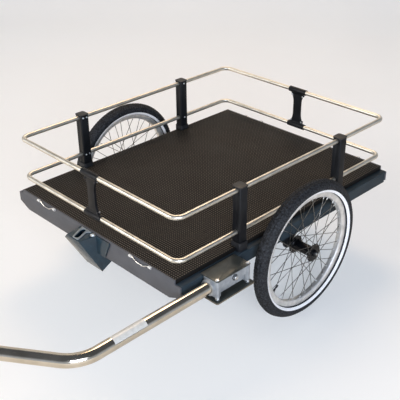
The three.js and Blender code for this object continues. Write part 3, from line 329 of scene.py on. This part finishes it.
def add_rings(bm, rings, closed=True, capped=True):
    """Skins a list of rings of points; closed joins the last ring to the first."""
    made = [[bm.verts.new(p) for p in ring] for ring in rings]
    count = len(made[0])
    pairs = list(zip(made, made[1:])) + ([(made[-1], made[0])] if closed else [])
    for one, two in pairs:
        for i in range(count):
            j = (i + 1) % count
            bm.faces.new((one[i], one[j], two[j], two[i]))
    if capped and not closed:
        bm.faces.new(list(reversed(made[0])))
        bm.faces.new(made[-1])
    return made


def polar(radius, angle, z):
    """A point at a radius and angle round +Z."""
    return Vector((radius * math.cos(angle), radius * math.sin(angle), z))


def lathe(bm, profile, place, segments, ripple=None):
    """Revolves a closed loop of (radius, along) round +Z and puts it in place."""
    rings = []
    for k in range(segments):
        angle = TAU * k / segments
        rings.append([place @ polar(r + (ripple(n, k) if ripple else 0), angle, z)
                      for n, (r, z) in enumerate(profile)])
    add_rings(bm, rings)


def turned(bm, profile, place, segments):
    """Revolves an open profile that starts and ends on the axis into a solid."""
    on_axis = [place @ Vector((0, 0, z)) for r, z in (profile[0], profile[-1])]
    rings = [[place @ polar(r, TAU * k / segments, z) for k in range(segments)] for r, z in profile[1:-1]]
    made = add_rings(bm, rings, closed=False, capped=False)
    for ring, point in ((made[0], on_axis[0]), (made[-1], on_axis[1])):
        tip = bm.verts.new(point)
        for i in range(segments):
            bm.faces.new((ring[i], ring[(i + 1) % segments], tip))


def sweep(bm, points, radius, sides, capped=True):
    """A round rod along points, without twist."""
    points = [Vector(p) for p in points]
    last = len(points) - 1
    tangents = [(points[min(i + 1, last)] - points[max(i - 1, 0)]).normalized() for i in range(last + 1)]
    side = tangents[0].orthogonal().normalized()
    rings = []
    for point, tangent in zip(points, tangents):
        side = (side - tangent * side.dot(tangent)).normalized()
        up = tangent.cross(side)
        turns = [TAU * k / sides for k in range(sides)]
        rings.append([point + radius * (math.cos(a) * side + math.sin(a) * up) for a in turns])
    add_rings(bm, rings, closed=False, capped=capped)


def bent(corners, radius, steps):
    """Points along straight runs joined by round bends."""
    corners = [Vector(c) for c in corners]
    path = [corners[0]]
    for before, corner, after in zip(corners, corners[1:], corners[2:]):
        entering = (corner - before).normalized()
        leaving = (after - corner).normalized()
        turn = entering.angle(leaving)
        start = corner - entering * radius * math.tan(turn / 2)
        across = (leaving - entering * math.cos(turn)).normalized()
        for k in range(steps + 1):
            a = turn * k / steps
            path.append(start + entering * radius * math.sin(a) + across * radius * (1 - math.cos(a)))
    path.append(corners[-1])
    return path


def along(axis, x, y, z):
    """A place whose +Z points along the given axis."""
    turn = Vector((0, 0, 1)).rotation_difference(Vector(axis)).to_matrix().to_4x4()
    return Matrix.Translation((x, y, z)) @ turn


# Radii that the solids' edges are eased to
EASE = {"board": 0.5, "profile": 0.7, "underframe": 0.6, "panel": 0.5, "post": 0.4, "socket": 0.8, "cap": 1.0,
        "clip": 0.6, "bracket": 1.4, "collar": 0.9, "clamp": 1.2, "plate": 0.8, "coupling": 0.8}

# Screws and bolts. Turned profiles, here and below, are points of (radius, distance along the axis)
PAN_SCREW = [(0, -2), (1.8, -2), (1.8, 0), (3.6, 0), (3.6, 1.08), (2.88, 2.04), (1.8, 2.4), (1.62, 2.4),
             (1.44, 0.96), (0, 0.96)]
HEX_CORNER_SHARE, HEX_SHOULDER_SHARE = 0.577, 0.9
HEX_SINK, HEX_DOME = 0.1, 0.6
WASHER_THICKNESS = 1.2


def pan_screw(bm, place):
    """A pan-head screw with a socket, its head's underside at zero."""
    turned(bm, PAN_SCREW, place, segments=16)


def hex_bolt(bm, place, across, height, washer):
    """A hexagon head on a round washer, whose underside is at zero."""
    ring = [(0, 0), (washer / 2, 0), (washer / 2, WASHER_THICKNESS), (0, WASHER_THICKNESS)]
    corner, foot, top = across * HEX_CORNER_SHARE, WASHER_THICKNESS - HEX_SINK, height + HEX_DOME
    head = [(0, foot), (corner, foot), (corner, height * HEX_SHOULDER_SHARE), (across / 2, top), (0, top)]
    turned(bm, ring, place, segments=28)
    turned(bm, head, place, segments=6)


# Deck and frame
AXLE_Z = -100
AXLE_BEAM = [(6.4, -437), (15, -437), (15, 437), (6.4, 437)]


def dress_platform():
    eased("deck_face", "deck_board", EASE["board"], "deck", "frame")
    for side in SIDES:
        eased(f"side_rail_{side}", f"side_profile_{side}", EASE["profile"], "profile", "frame")
        eased(f"axle_carrier_{side}", f"axle_hanger_{side}", EASE["underframe"], "underframe", "frame")
    for place in ("front", "middle", "rear"):
        eased(f"deck_bearer_{place}", f"cross_bearer_{place}", EASE["underframe"], "underframe", "frame")
    for end in ENDS:
        eased(f"end_panel_{end}", f"{end}_panel", EASE["panel"], "panel", "frame")
    bm = bmesh.new()
    lathe(bm, AXLE_BEAM, along((1, 0, 0), 0, 0, AXLE_Z), segments=40)
    shape("axle_tube", bm, "underframe", "frame", ["axle_beam"])


# Railing
RAIL_X, RAIL_Y, RAIL_BEND, RAIL_RADIUS = 402, 518, 32, 8
RAIL_HEIGHTS = {"lower": 52, "upper": 200}
# The loop closes in the middle of its rear run
RAIL_CORNERS = ((0, 1), (1, 1), (1, -1), (-1, -1), (-1, 1), (0, 1))
POST_X, POST_Y, POST_HALF = 402, 252, 17.5
POST_SCREW_RISE = 1
# One post has its screws in pairs, as in the photo
POST_SCREW_PAIRS = {"front_right": (-8, 8)}
CLIP_SCREW_X, CLIP_SCREW_HEIGHTS, CLIP_FACE = 26, (71, 181), 4.2


def dress_railing():
    for name, height in RAIL_HEIGHTS.items():
        bm = bmesh.new()
        corners = [(sx * RAIL_X, sy * RAIL_Y, height) for sx, sy in RAIL_CORNERS]
        sweep(bm, bent(corners, RAIL_BEND, steps=14), RAIL_RADIUS, sides=24)
        shape(f"{name}_rail_tube", bm, "polished_tube", "frame", [f"{name}_rail"],
              sharp_from=60)
    for side, sx in SIDES.items():
        for end, sy in ENDS.items():
            spot = f"{end}_{side}"
            eased(f"stanchion_{spot}", f"post_{spot}", EASE["post"], "post", "frame")
            eased(f"foot_{spot}", f"post_socket_{spot}", EASE["socket"], "black_plastic", "frame")
            eased(f"lid_{spot}", f"post_cap_{spot}", EASE["cap"], "black_plastic", "frame",
                  segments=3)
            bm = bmesh.new()
            for height in RAIL_HEIGHTS.values():
                for dy in POST_SCREW_PAIRS.get(spot, (0,)):
                    pan_screw(bm, along((-sx, 0, 0), sx * (POST_X - POST_HALF), sy * POST_Y + dy,
                                        height + POST_SCREW_RISE))
            shape(f"post_screws_{spot}", bm, "zinc", "frame")
    for end, sy in ENDS.items():
        # The outer halves' screws are black, the inner ones' bright
        for half, way, look in (("outer", 1, "black_plastic"), ("inner", -1, "zinc")):
            eased(f"clip_{end}_{half}", f"rail_clip_{end}_{half}", EASE["clip"], "post", "frame")
            bm = bmesh.new()
            out = sy * way
            for x in (-CLIP_SCREW_X, CLIP_SCREW_X):
                for z in CLIP_SCREW_HEIGHTS:
                    pan_screw(bm, along((0, out, 0), x, sy * RAIL_Y + out * CLIP_FACE, z))
            shape(f"clip_screws_{end}_{half}", bm, look, "frame")


# Lashing bails: a wire loop that hangs between two ferrules
BAIL_X, BAIL_Y, BAIL_Z, BAIL_HALF = 252, 538.7, -2, 52
BAIL_WIRE_RADIUS, BAIL_BEND, BAIL_DROP, BAIL_SHOULDER, BAIL_RUN, BAIL_PIN = 2.25, 24, 10, 6, 26, 7
FERRULE_LENGTH = 11
FERRULE = [(2.6, -0.4), (3.6, -0.4), (4.4, 0.4), (4.4, 10.6), (3.9, 11.2), (2.6, 11.2)]


def dress_bails():
    mouth = BAIL_HALF - FERRULE_LENGTH
    half = [(mouth + BAIL_PIN, 0, 0), (mouth - BAIL_SHOULDER, 0, 0), (mouth - BAIL_RUN, 0, -BAIL_DROP)]
    corners = [(-x, y, z) for x, y, z in half] + half[::-1]
    for end, sy in ENDS.items():
        for side, sx in SIDES.items():
            spot = f"{end}_{side}"
            place = Matrix.Translation((sx * BAIL_X, sy * BAIL_Y, BAIL_Z))
            bm = bmesh.new()
            sweep(bm, [place @ p for p in bent(corners, BAIL_BEND, steps=8)], BAIL_WIRE_RADIUS, sides=14)
            shape(f"bail_wire_{spot}", bm, "bright_wire", f"bail_{spot}",
                  [f"lashing_bail_{spot}"], sharp_from=60)
            bm = bmesh.new()
            for way in (-1, 1):
                mouth_place = along((-way, 0, 0), sx * BAIL_X + way * BAIL_HALF, sy * BAIL_Y, BAIL_Z)
                lathe(bm, FERRULE, mouth_place, segments=24)
            shape(f"ferrules_{spot}", bm, "ferrule", "frame")


# Front bracket
BRACKET_BOLT_PLACE = (22, -544.6, -5)


def dress_bracket():
    eased("stand_bracket", "front_bracket", EASE["bracket"], "bracket", "frame", segments=3)
    eased("slot_collar", "bracket_collar", EASE["collar"], "collar", "frame", segments=3)
    bm = bmesh.new()
    hex_bolt(bm, along((0, 0, 1), *BRACKET_BOLT_PLACE), across=12, height=5.0, washer=18)
    shape("stand_bolt", bm, "zinc", "frame", ["bracket_bolt"])


# Drawbar's clamp
CLAMP_FRONT, CLAMP_REAR = -440, -292
CLAMP_COVER_Z, CLAMP_NUT_Z = -12.0, -80.6
BOLT_X, BOLT_INSET = 482.1, 7.5
BOLT_SHANK = [(0, 0), (2.5, 0), (2.5, 76.4), (2, 76.9), (0, 76.9)]
LOCK_X, LOCK_Z, LOCK_PLACE_SHARE = 485.6, -33, 0.54
LOCK_KNOB = [(0, -8), (4, -8), (4, 0), (5.6, 0), (5.6, 3), (7.2, 3.2), (7.5, 3.8), (7.5, 7.6), (6.6, 8.6),
             (5, 9), (0, 9)]
DARK_RING_BEHIND_KNOB = [(8.0, -1), (8.0, 0.5), (9.6, 1.2), (10.6, 0.8), (10.6, -1)]


def dress_clamp():
    eased("clamp_casting", "drawbar_clamp", EASE["clamp"], "casting", "frame", segments=3)
    eased("clamp_cover", "clamp_top_plate", EASE["plate"], "plate", "frame")
    # Its upright faces take the paler edge colour, painted light
    eased("clamp_base", "clamp_bottom_plate", EASE["plate"], "plate", "frame", upright="plate_edge_painted_light")
    for place, y in (("front", CLAMP_FRONT + BOLT_INSET), ("rear", CLAMP_REAR - BOLT_INSET)):
        bm = bmesh.new()
        hex_bolt(bm, along((0, 0, 1), BOLT_X, y, CLAMP_COVER_Z), across=9, height=3.6, washer=12)
        turned(bm, BOLT_SHANK, along((0, 0, -1), BOLT_X, y, CLAMP_COVER_Z), segments=16)
        shape(f"clamp_head_{place}", bm, "zinc", "frame", [f"clamp_bolt_{place}"])
        bm = bmesh.new()
        hex_bolt(bm, along((0, 0, 1), BOLT_X, y, CLAMP_NUT_Z), across=12, height=6.8, washer=16)
        shape(f"clamp_lock_nut_{place}", bm, "zinc", "frame", [f"clamp_nut_{place}"])
    spot = along((1, 0, 0), LOCK_X, CLAMP_FRONT + (CLAMP_REAR - CLAMP_FRONT) * LOCK_PLACE_SHARE, LOCK_Z)
    bm = bmesh.new()
    turned(bm, LOCK_KNOB, spot, segments=32)
    shape("lock_knob", bm, "zinc", "locking_pin", ["lock_pin"])
    # A black ring behind the knob, round the locking pin
    bm = bmesh.new()
    lathe(bm, DARK_RING_BEHIND_KNOB, spot, segments=32)
    shape("dark_ring_behind_knob", bm, "black_plastic", "frame")


# Drawbar, its label and its coupling
BAR_X, BAR_Z, BAR_RADIUS, BAR_BORE = 457, -43, 20, 18
BAR_REAR, BAR_BEND_START, BAR_BEND, BAR_ANGLE = -297, -865, 110, math.radians(55)
NOSE_X, NOSE_LENGTH = 96, 32
LABEL_REAR, LABEL_FRONT, LABEL_OUT, LABEL_IN = -700, -815, 20.15, 19.8
# Degrees from the tube's top
LABEL_START, LABEL_STEP, LABEL_STEPS = -38, 4.2, 24


def dress_drawbar():
    trim = BAR_BEND * math.tan(BAR_ANGLE / 2)
    corner_y = BAR_BEND_START - trim - (BAR_X - NOSE_X) / math.tan(BAR_ANGLE)
    nose_y = corner_y - trim - NOSE_LENGTH
    corners = [(BAR_X, BAR_REAR, BAR_Z), (BAR_X, BAR_BEND_START - trim, BAR_Z), (NOSE_X, corner_y, BAR_Z),
               (NOSE_X, nose_y, BAR_Z)]
    path = bent(corners, BAR_BEND, steps=20)
    bm = bmesh.new()
    for radius in (BAR_RADIUS, BAR_BORE):
        sweep(bm, path, radius, sides=40, capped=False)
    open_edges = [e for e in bm.edges if e.is_boundary]
    for way in (1, -1):
        end = [e for e in open_edges if e.is_valid and way * (e.verts[0].co.y - BAR_BEND_START) > 0]
        bmesh.ops.bridge_loops(bm, edges=end)
    shape("drawbar_steel_tube", bm, "drawbar_steel", "drawbar", ["drawbar_tube"],
          sharp_from=50)
    # The label is a strip of film wrapped over the tube's upper side, its underside in the tube's wall
    bm = bmesh.new()
    outline = ((LABEL_OUT, LABEL_REAR), (LABEL_OUT, LABEL_FRONT), (LABEL_IN, LABEL_FRONT),
               (LABEL_IN, LABEL_REAR))
    rings = []
    for k in range(LABEL_STEPS + 1):
        a = math.radians(LABEL_START + LABEL_STEP * k)
        rings.append([Vector((BAR_X + r * math.sin(a), y, BAR_Z + r * math.cos(a))) for r, y in outline])
    add_rings(bm, rings, closed=False)
    shape("drawbar_label", bm, "label", "drawbar")
    eased("swivel_sleeve", "swivel_head", EASE["coupling"], "casting", "coupling_swivel")
    eased("hitch_fork", "coupling_fork", EASE["coupling"], "casting", "coupling_jaw")


# Tyre
WHEEL_X = 475
TYRE_MIDDLE, TYRE_ROUND, TYRE_HALF = 227, 24, 24.2
TYRE_BEAD = [(203, 10), (207, 10.1), (209.4, 10.4), (210.6, 12.6), (212.2, 16.0)]
TYRE_INSIDE = [(203, -8), (214, -14), (227, -21), (240, -14), (245, 0), (240, 14), (227, 21), (214, 14),
               (203, 8)]
TYRE_ARC_START, TYRE_ARC, TYRE_ARC_STEPS = -34, 248, 28
TREAD_FROM, TREAD_DEPTH, GROOVE_LANES, SIPE_EVERY = 240.5, 3.0, (2, 5), 3
# The white stripe stands a little proud of the tyre's wall
STRIPE_START, STRIPE_STEP, STRIPE_POINTS, STRIPE_LIFT, STRIPE_SINK = -43, 5.0, 6, 0.45, -0.6


def wall_point(degrees, lift=0.0):
    """A point on the tyre's round wall, or a little above it."""
    a = math.radians(degrees)
    return TYRE_MIDDLE + (TYRE_ROUND + lift) * math.sin(a), (TYRE_HALF + lift) * math.cos(a)


def dress_tyre(side, body, centre):
    outside = TYRE_BEAD + [wall_point(TYRE_ARC_START + TYRE_ARC * k / TYRE_ARC_STEPS)
                           for k in range(TYRE_ARC_STEPS + 1)] + [(r, -z) for r, z in reversed(TYRE_BEAD)]
    tread = [n for n, (r, z) in enumerate(outside) if r > TREAD_FROM]

    def tread_cut(n, k):
        """Grooves round the crown and slanted sipes across it."""
        if n not in tread:
            return 0
        lane = abs(n - tread[0] - len(tread) // 2)
        return -TREAD_DEPTH if lane in GROOVE_LANES or (k + lane) % SIPE_EVERY == 0 else 0

    bm = bmesh.new()
    lathe(bm, outside + TYRE_INSIDE, centre, segments=360, ripple=tread_cut)
    shape(f"tyre_tread_{side}", bm, "tyre", body, [f"tyre_{side}"], sharp_from=40)

    bm = bmesh.new()
    spread = [STRIPE_START + STRIPE_STEP * k for k in range(STRIPE_POINTS)]
    band = [wall_point(d, STRIPE_LIFT) for d in spread]
    band += [wall_point(d, STRIPE_SINK) for d in reversed(spread)]
    for way in (-1, 1):
        lathe(bm, [(r, way * z) for r, z in band], centre, segments=160)
    shape(f"reflective_band_{side}", bm, "stripe", body)


# Rim, spokes and hub
RIM_HALF = [(189, 5.5), (189.6, 8), (192, 10.4), (195, 11.6), (197, 12.5), (206.5, 12.5), (208.4, 12.3),
            (209.2, 11.6), (209.2, 10.9), (208.4, 10.5), (203.5, 10.3), (202.5, 9.6)]
RIM_SEAT = 190
SPOKES_PER_SIDE, SPOKE_CROSSINGS, SPOKE_CIRCLE, SPOKE_RADIUS = 18, 3, 28, 1.15
SPOKE_SPREAD, SPOKE_RIM_SPREAD = 2.9, 2
HEAD_REACH, HEAD_RADIUS, HEAD_OUT, HEAD_BACK = 5, 1.9, 0.6, 0.8
ELBOW_BEFORE, ELBOW_AFTER = 0.8, 1.2
NIPPLE_RADIUS, NIPPLE_RUNS = 2.0, (9, 8.4, 1)
FLANGE_OUT, FLANGE_IN = 34, 43
HUB_HALF = [(6.4, 3), (11.4, 3), (12, 2.4), (19, 2.4), (21, 2), (31.2, 2), (32, 1.2), (32, -1.2), (31.2, -2),
            (21, -2), (19.6, -3.6), (18.2, -10), (18, -16)]
# The far wheel's valve stands behind a post, as in the photo
VALVE_ANGLES = {"left": math.radians(-60), "right": math.radians(120)}
VALVE = [(0, 0), (3.2, 0), (3.2, 14), (2.6, 15), (2.6, 19), (3.4, 19), (3.4, 29), (2.4, 30), (0, 30)]
# Along the axle from the trailer's middle
AXLE_PIN = [(0, 388), (4.8, 388), (6, 389.2), (6, 512.3), (11.4, 512.3), (12, 512.9), (12, 518),
            (11.4, 519.2), (10, 520.3), (5, 520.3), (4.4, 519.6), (4.4, 511.8), (0, 511.8)]
AXLE_BUTTON = [(0, 515.8), (4, 515.8), (4, 523.2), (3.6, 524), (2.8, 524.3), (0, 524.3)]


def dress_rim(side, body, centre):
    bm = bmesh.new()
    lathe(bm, RIM_HALF + [(r, -z) for r, z in reversed(RIM_HALF)], centre, segments=180)
    shape(f"rim_hoop_{side}", bm, "rim", body, [f"spoked_rim_{side}"], sharp_from=30)

    wires, nipples = bmesh.new(), bmesh.new()
    pitch = TAU / SPOKES_PER_SIDE
    for way_out, flange in ((-1, FLANGE_IN), (1, FLANGE_OUT)):
        for i in range(SPOKES_PER_SIDE):
            way = 1 if i % 2 else -1
            rim_angle = pitch * (i + (2 - way_out) / 4) + math.pi / 2
            hub_angle = rim_angle + way * SPOKE_CROSSINGS * pitch
            station = way_out * (flange + way * SPOKE_SPREAD)
            head = polar(SPOKE_CIRCLE, hub_angle, station - way_out * way * HEAD_REACH)
            elbow = polar(SPOKE_CIRCLE, hub_angle, station)
            foot = polar(RIM_SEAT, rim_angle, way_out * SPOKE_RIM_SPREAD)
            reach, run = (elbow - head).normalized(), (foot - elbow).normalized()
            wire = [head, elbow - reach * ELBOW_BEFORE, elbow + run * ELBOW_AFTER, foot]
            sweep(wires, [centre @ p for p in wire], SPOKE_RADIUS, sides=8)
            barrel = [centre @ (foot - run * back) for back in NIPPLE_RUNS]
            sweep(nipples, barrel, NIPPLE_RADIUS, sides=10)
            button = (head - reach * HEAD_OUT, head + reach * HEAD_BACK)
            sweep(wires, [centre @ p for p in button], HEAD_RADIUS, sides=8)
    shape(f"spokes_{side}", wires, "spoke", body, sharp_from=50)
    shape(f"spoke_nipples_{side}", nipples, "zinc", body, sharp_from=50)


def dress_hub(side, sx, body, centre):
    bm = bmesh.new()
    shell = [(r, FLANGE_OUT + z) for r, z in HUB_HALF] + [(r, -FLANGE_IN - z) for r, z in reversed(HUB_HALF)]
    lathe(bm, shell, centre, segments=64)
    shape(f"hub_shell_{side}", bm, "hub", body, [f"hub_{side}"], sharp_from=30)

    stem = polar(1, VALVE_ANGLES[side], 0)
    bm = bmesh.new()
    turned(bm, VALVE, along(-(centre.to_3x3() @ stem), *(centre @ (stem * RIM_SEAT))), segments=20)
    shape(f"valve_{side}", bm, "black_plastic", body)

    middle = along((sx, 0, 0), 0, 0, AXLE_Z)
    bm = bmesh.new()
    turned(bm, AXLE_PIN, middle, segments=40)
    shape(f"axle_pin_{side}", bm, "hub", "frame", [f"wheel_axle_{side}"])
    bm = bmesh.new()
    turned(bm, AXLE_BUTTON, middle, segments=28)
    shape(f"release_button_{side}", bm, "zinc", f"button_{side}", [f"axle_button_{side}"])


dress_platform()
dress_railing()
dress_bails()
dress_bracket()
dress_clamp()
dress_drawbar()
for wheel_side, wheel_way in SIDES.items():
    wheel_body = f"wheel_{wheel_side}"
    wheel_centre = along((wheel_way, 0, 0), wheel_way * WHEEL_X, 0, AXLE_Z)
    dress_tyre(wheel_side, wheel_body, wheel_centre)
    dress_rim(wheel_side, wheel_body, wheel_centre)
    dress_hub(wheel_side, wheel_way, wheel_body, wheel_centre)
for name in ("coupling_neck", "coupling_pin"):
    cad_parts[name].data.materials.clear()
    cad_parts[name].data.materials.append(FINISH["zinc"])


# Studio, in metres
FLOOR_Z, FLOOR_FRONT, FLOOR_HALF = -0.3512, -9.0, 9
SWEEP_START, SWEEP_RADIUS, SWEEP_STEPS, WALL_TOP = 3.2, 1.6, 12, 6.0
SWEEP_TURN = math.radians(46)
# Name, place, size, watts and tint
LAMPS = (("front_box", (-1.8, -3.9, 1.9), 2.6, 120, "#fbf6f0"),
         ("side_box", (3.4, -2.3, 1.4), 2.0, 148, "#e0e9fb"),
         ("high_box", (-1.5, 1.6, 3.3), 1.6, 54, "#ffe2c2"))


def paper_sweep():
    """A floor that curves up into a wall behind the trailer."""
    bm = bmesh.new()
    rows = [(FLOOR_FRONT, 0.0)]
    for k in range(SWEEP_STEPS + 1):
        a = math.pi / 2 * k / SWEEP_STEPS
        rows.append((SWEEP_START + SWEEP_RADIUS * math.sin(a), SWEEP_RADIUS * (1 - math.cos(a))))
    rows.append((SWEEP_START + SWEEP_RADIUS, WALL_TOP))
    turn = Matrix.Rotation(SWEEP_TURN, 4, "Z")
    grid = [[bm.verts.new(turn @ Vector((x, y, FLOOR_Z + z))) for x in (-FLOOR_HALF, FLOOR_HALF)]
            for y, z in rows]
    for one, two in zip(grid, grid[1:]):
        bm.faces.new((one[0], one[1], two[1], two[0]))
    mesh = bpy.data.meshes.new("studio_sweep")
    bm.to_mesh(mesh)
    bm.free()
    floor = bpy.data.objects.new("studio_sweep", mesh)
    bpy.context.scene.collection.objects.link(floor)
    mesh.shade_smooth()
    material, tree, shader, place = start_finish("matt_paper", roughness=0.9)
    mottle(tree, place, shader, "#f5ede0", "#f8f1e5", size_mm=900)
    # Seen by the camera the paper is partly lit by itself, so that it stays pale and its shadows soft
    glow = node(tree, "Emission", {"Color": to_linear("#e8f2ff"), "Strength": 1.46})
    seen = node(tree, "LightPath")
    glow_share = 0.3
    share = node(tree, "Math", {"operation": "MULTIPLY", 1: glow_share}, {0: (seen, "Is Camera Ray")})
    mix = node(tree, "MixShader", {}, {0: (share, "Value"), 1: (shader, 0), 2: (glow, 0)})
    tree.links.new(mix.outputs[0], tree.nodes["Material Output"].inputs["Surface"])
    mesh.materials.append(material)


def soft_room():
    """Light from all round, weaker from overhead."""
    world = bpy.data.worlds.new("soft_room")
    bpy.context.scene.world = world
    world.use_nodes = True
    room = world.node_tree
    spot = node(room, "TexCoord")
    height = node(room, "SeparateXYZ", {}, {"Vector": (spot, "Generated")})
    level = node(room, "MapRange", {"From Min": 0.0, "From Max": 0.55, "To Min": 0.9, "To Max": 0.13},
                 {"Value": (height, "Z")})
    light = room.nodes["Background"]
    light.inputs["Color"].default_value = to_linear("#dfeafb")
    room.links.new(level.outputs["Result"], light.inputs["Strength"])
    # Beyond the paper's edges the camera sees a pale wall
    wall = node(room, "Background", {"Color": to_linear("#cdced0"), "Strength": 1.0})
    seen = node(room, "LightPath")
    shown = node(room, "MixShader", {}, {0: (seen, "Is Camera Ray"), 1: (light, 0), 2: (wall, 0)})
    room.links.new(shown.outputs[0], room.nodes["World Output"].inputs["Surface"])


def lamps():
    """Soft boxes that look at the deck's middle."""
    for name, place, size, watts, tint in LAMPS:
        light = bpy.data.lights.new(name, "AREA")
        light.shape = "SQUARE"
        light.size = size
        light.energy = watts
        light.color = to_linear(tint)[:3]
        lamp = bpy.data.objects.new(name, light)
        lamp.location = place
        lamp.rotation_euler = (-Vector(place)).to_track_quat("-Z", "Y").to_euler()
        bpy.context.scene.collection.objects.link(lamp)


# The photo's own camera: angles in radians, place in metres, focal length and width in pixels
CAMERA_TURN, CAMERA_RISE, CAMERA_ROLL = -0.768362444, 0.506954120, -0.0105932720
CAMERA_PLACE = (1.77965432, -1.75498130, 1.29188156)
CAMERA_FOCAL, CAMERA_WIDTH = 756.646559, 400
SENSOR_MM = 36
CLIP_START, CLIP_END = 0.05, 60


def camera():
    """The camera stands where the photo's own camera stood."""
    turn, rise, roll = CAMERA_TURN, CAMERA_RISE, CAMERA_ROLL
    back = Vector((math.cos(rise) * math.cos(turn), math.cos(rise) * math.sin(turn), math.sin(rise)))
    level = Vector((-math.sin(turn), math.cos(turn), 0))
    right = level * math.cos(roll) + back.cross(level) * math.sin(roll)
    up = back.cross(right)
    data = bpy.data.cameras.new("photo_camera")
    data.sensor_width = SENSOR_MM
    data.lens = SENSOR_MM * CAMERA_FOCAL / CAMERA_WIDTH
    data.clip_start = CLIP_START
    data.clip_end = CLIP_END
    obj = bpy.data.objects.new("photo_camera", data)
    place = Matrix((right, up, back)).transposed().to_4x4()
    place.translation = CAMERA_PLACE
    obj.matrix_world = place
    bpy.context.scene.collection.objects.link(obj)
    bpy.context.scene.camera = obj


paper_sweep()
soft_room()
lamps()
camera()
bpy.context.scene.view_settings.view_transform = "Standard"

bpy.context.view_layer.update()
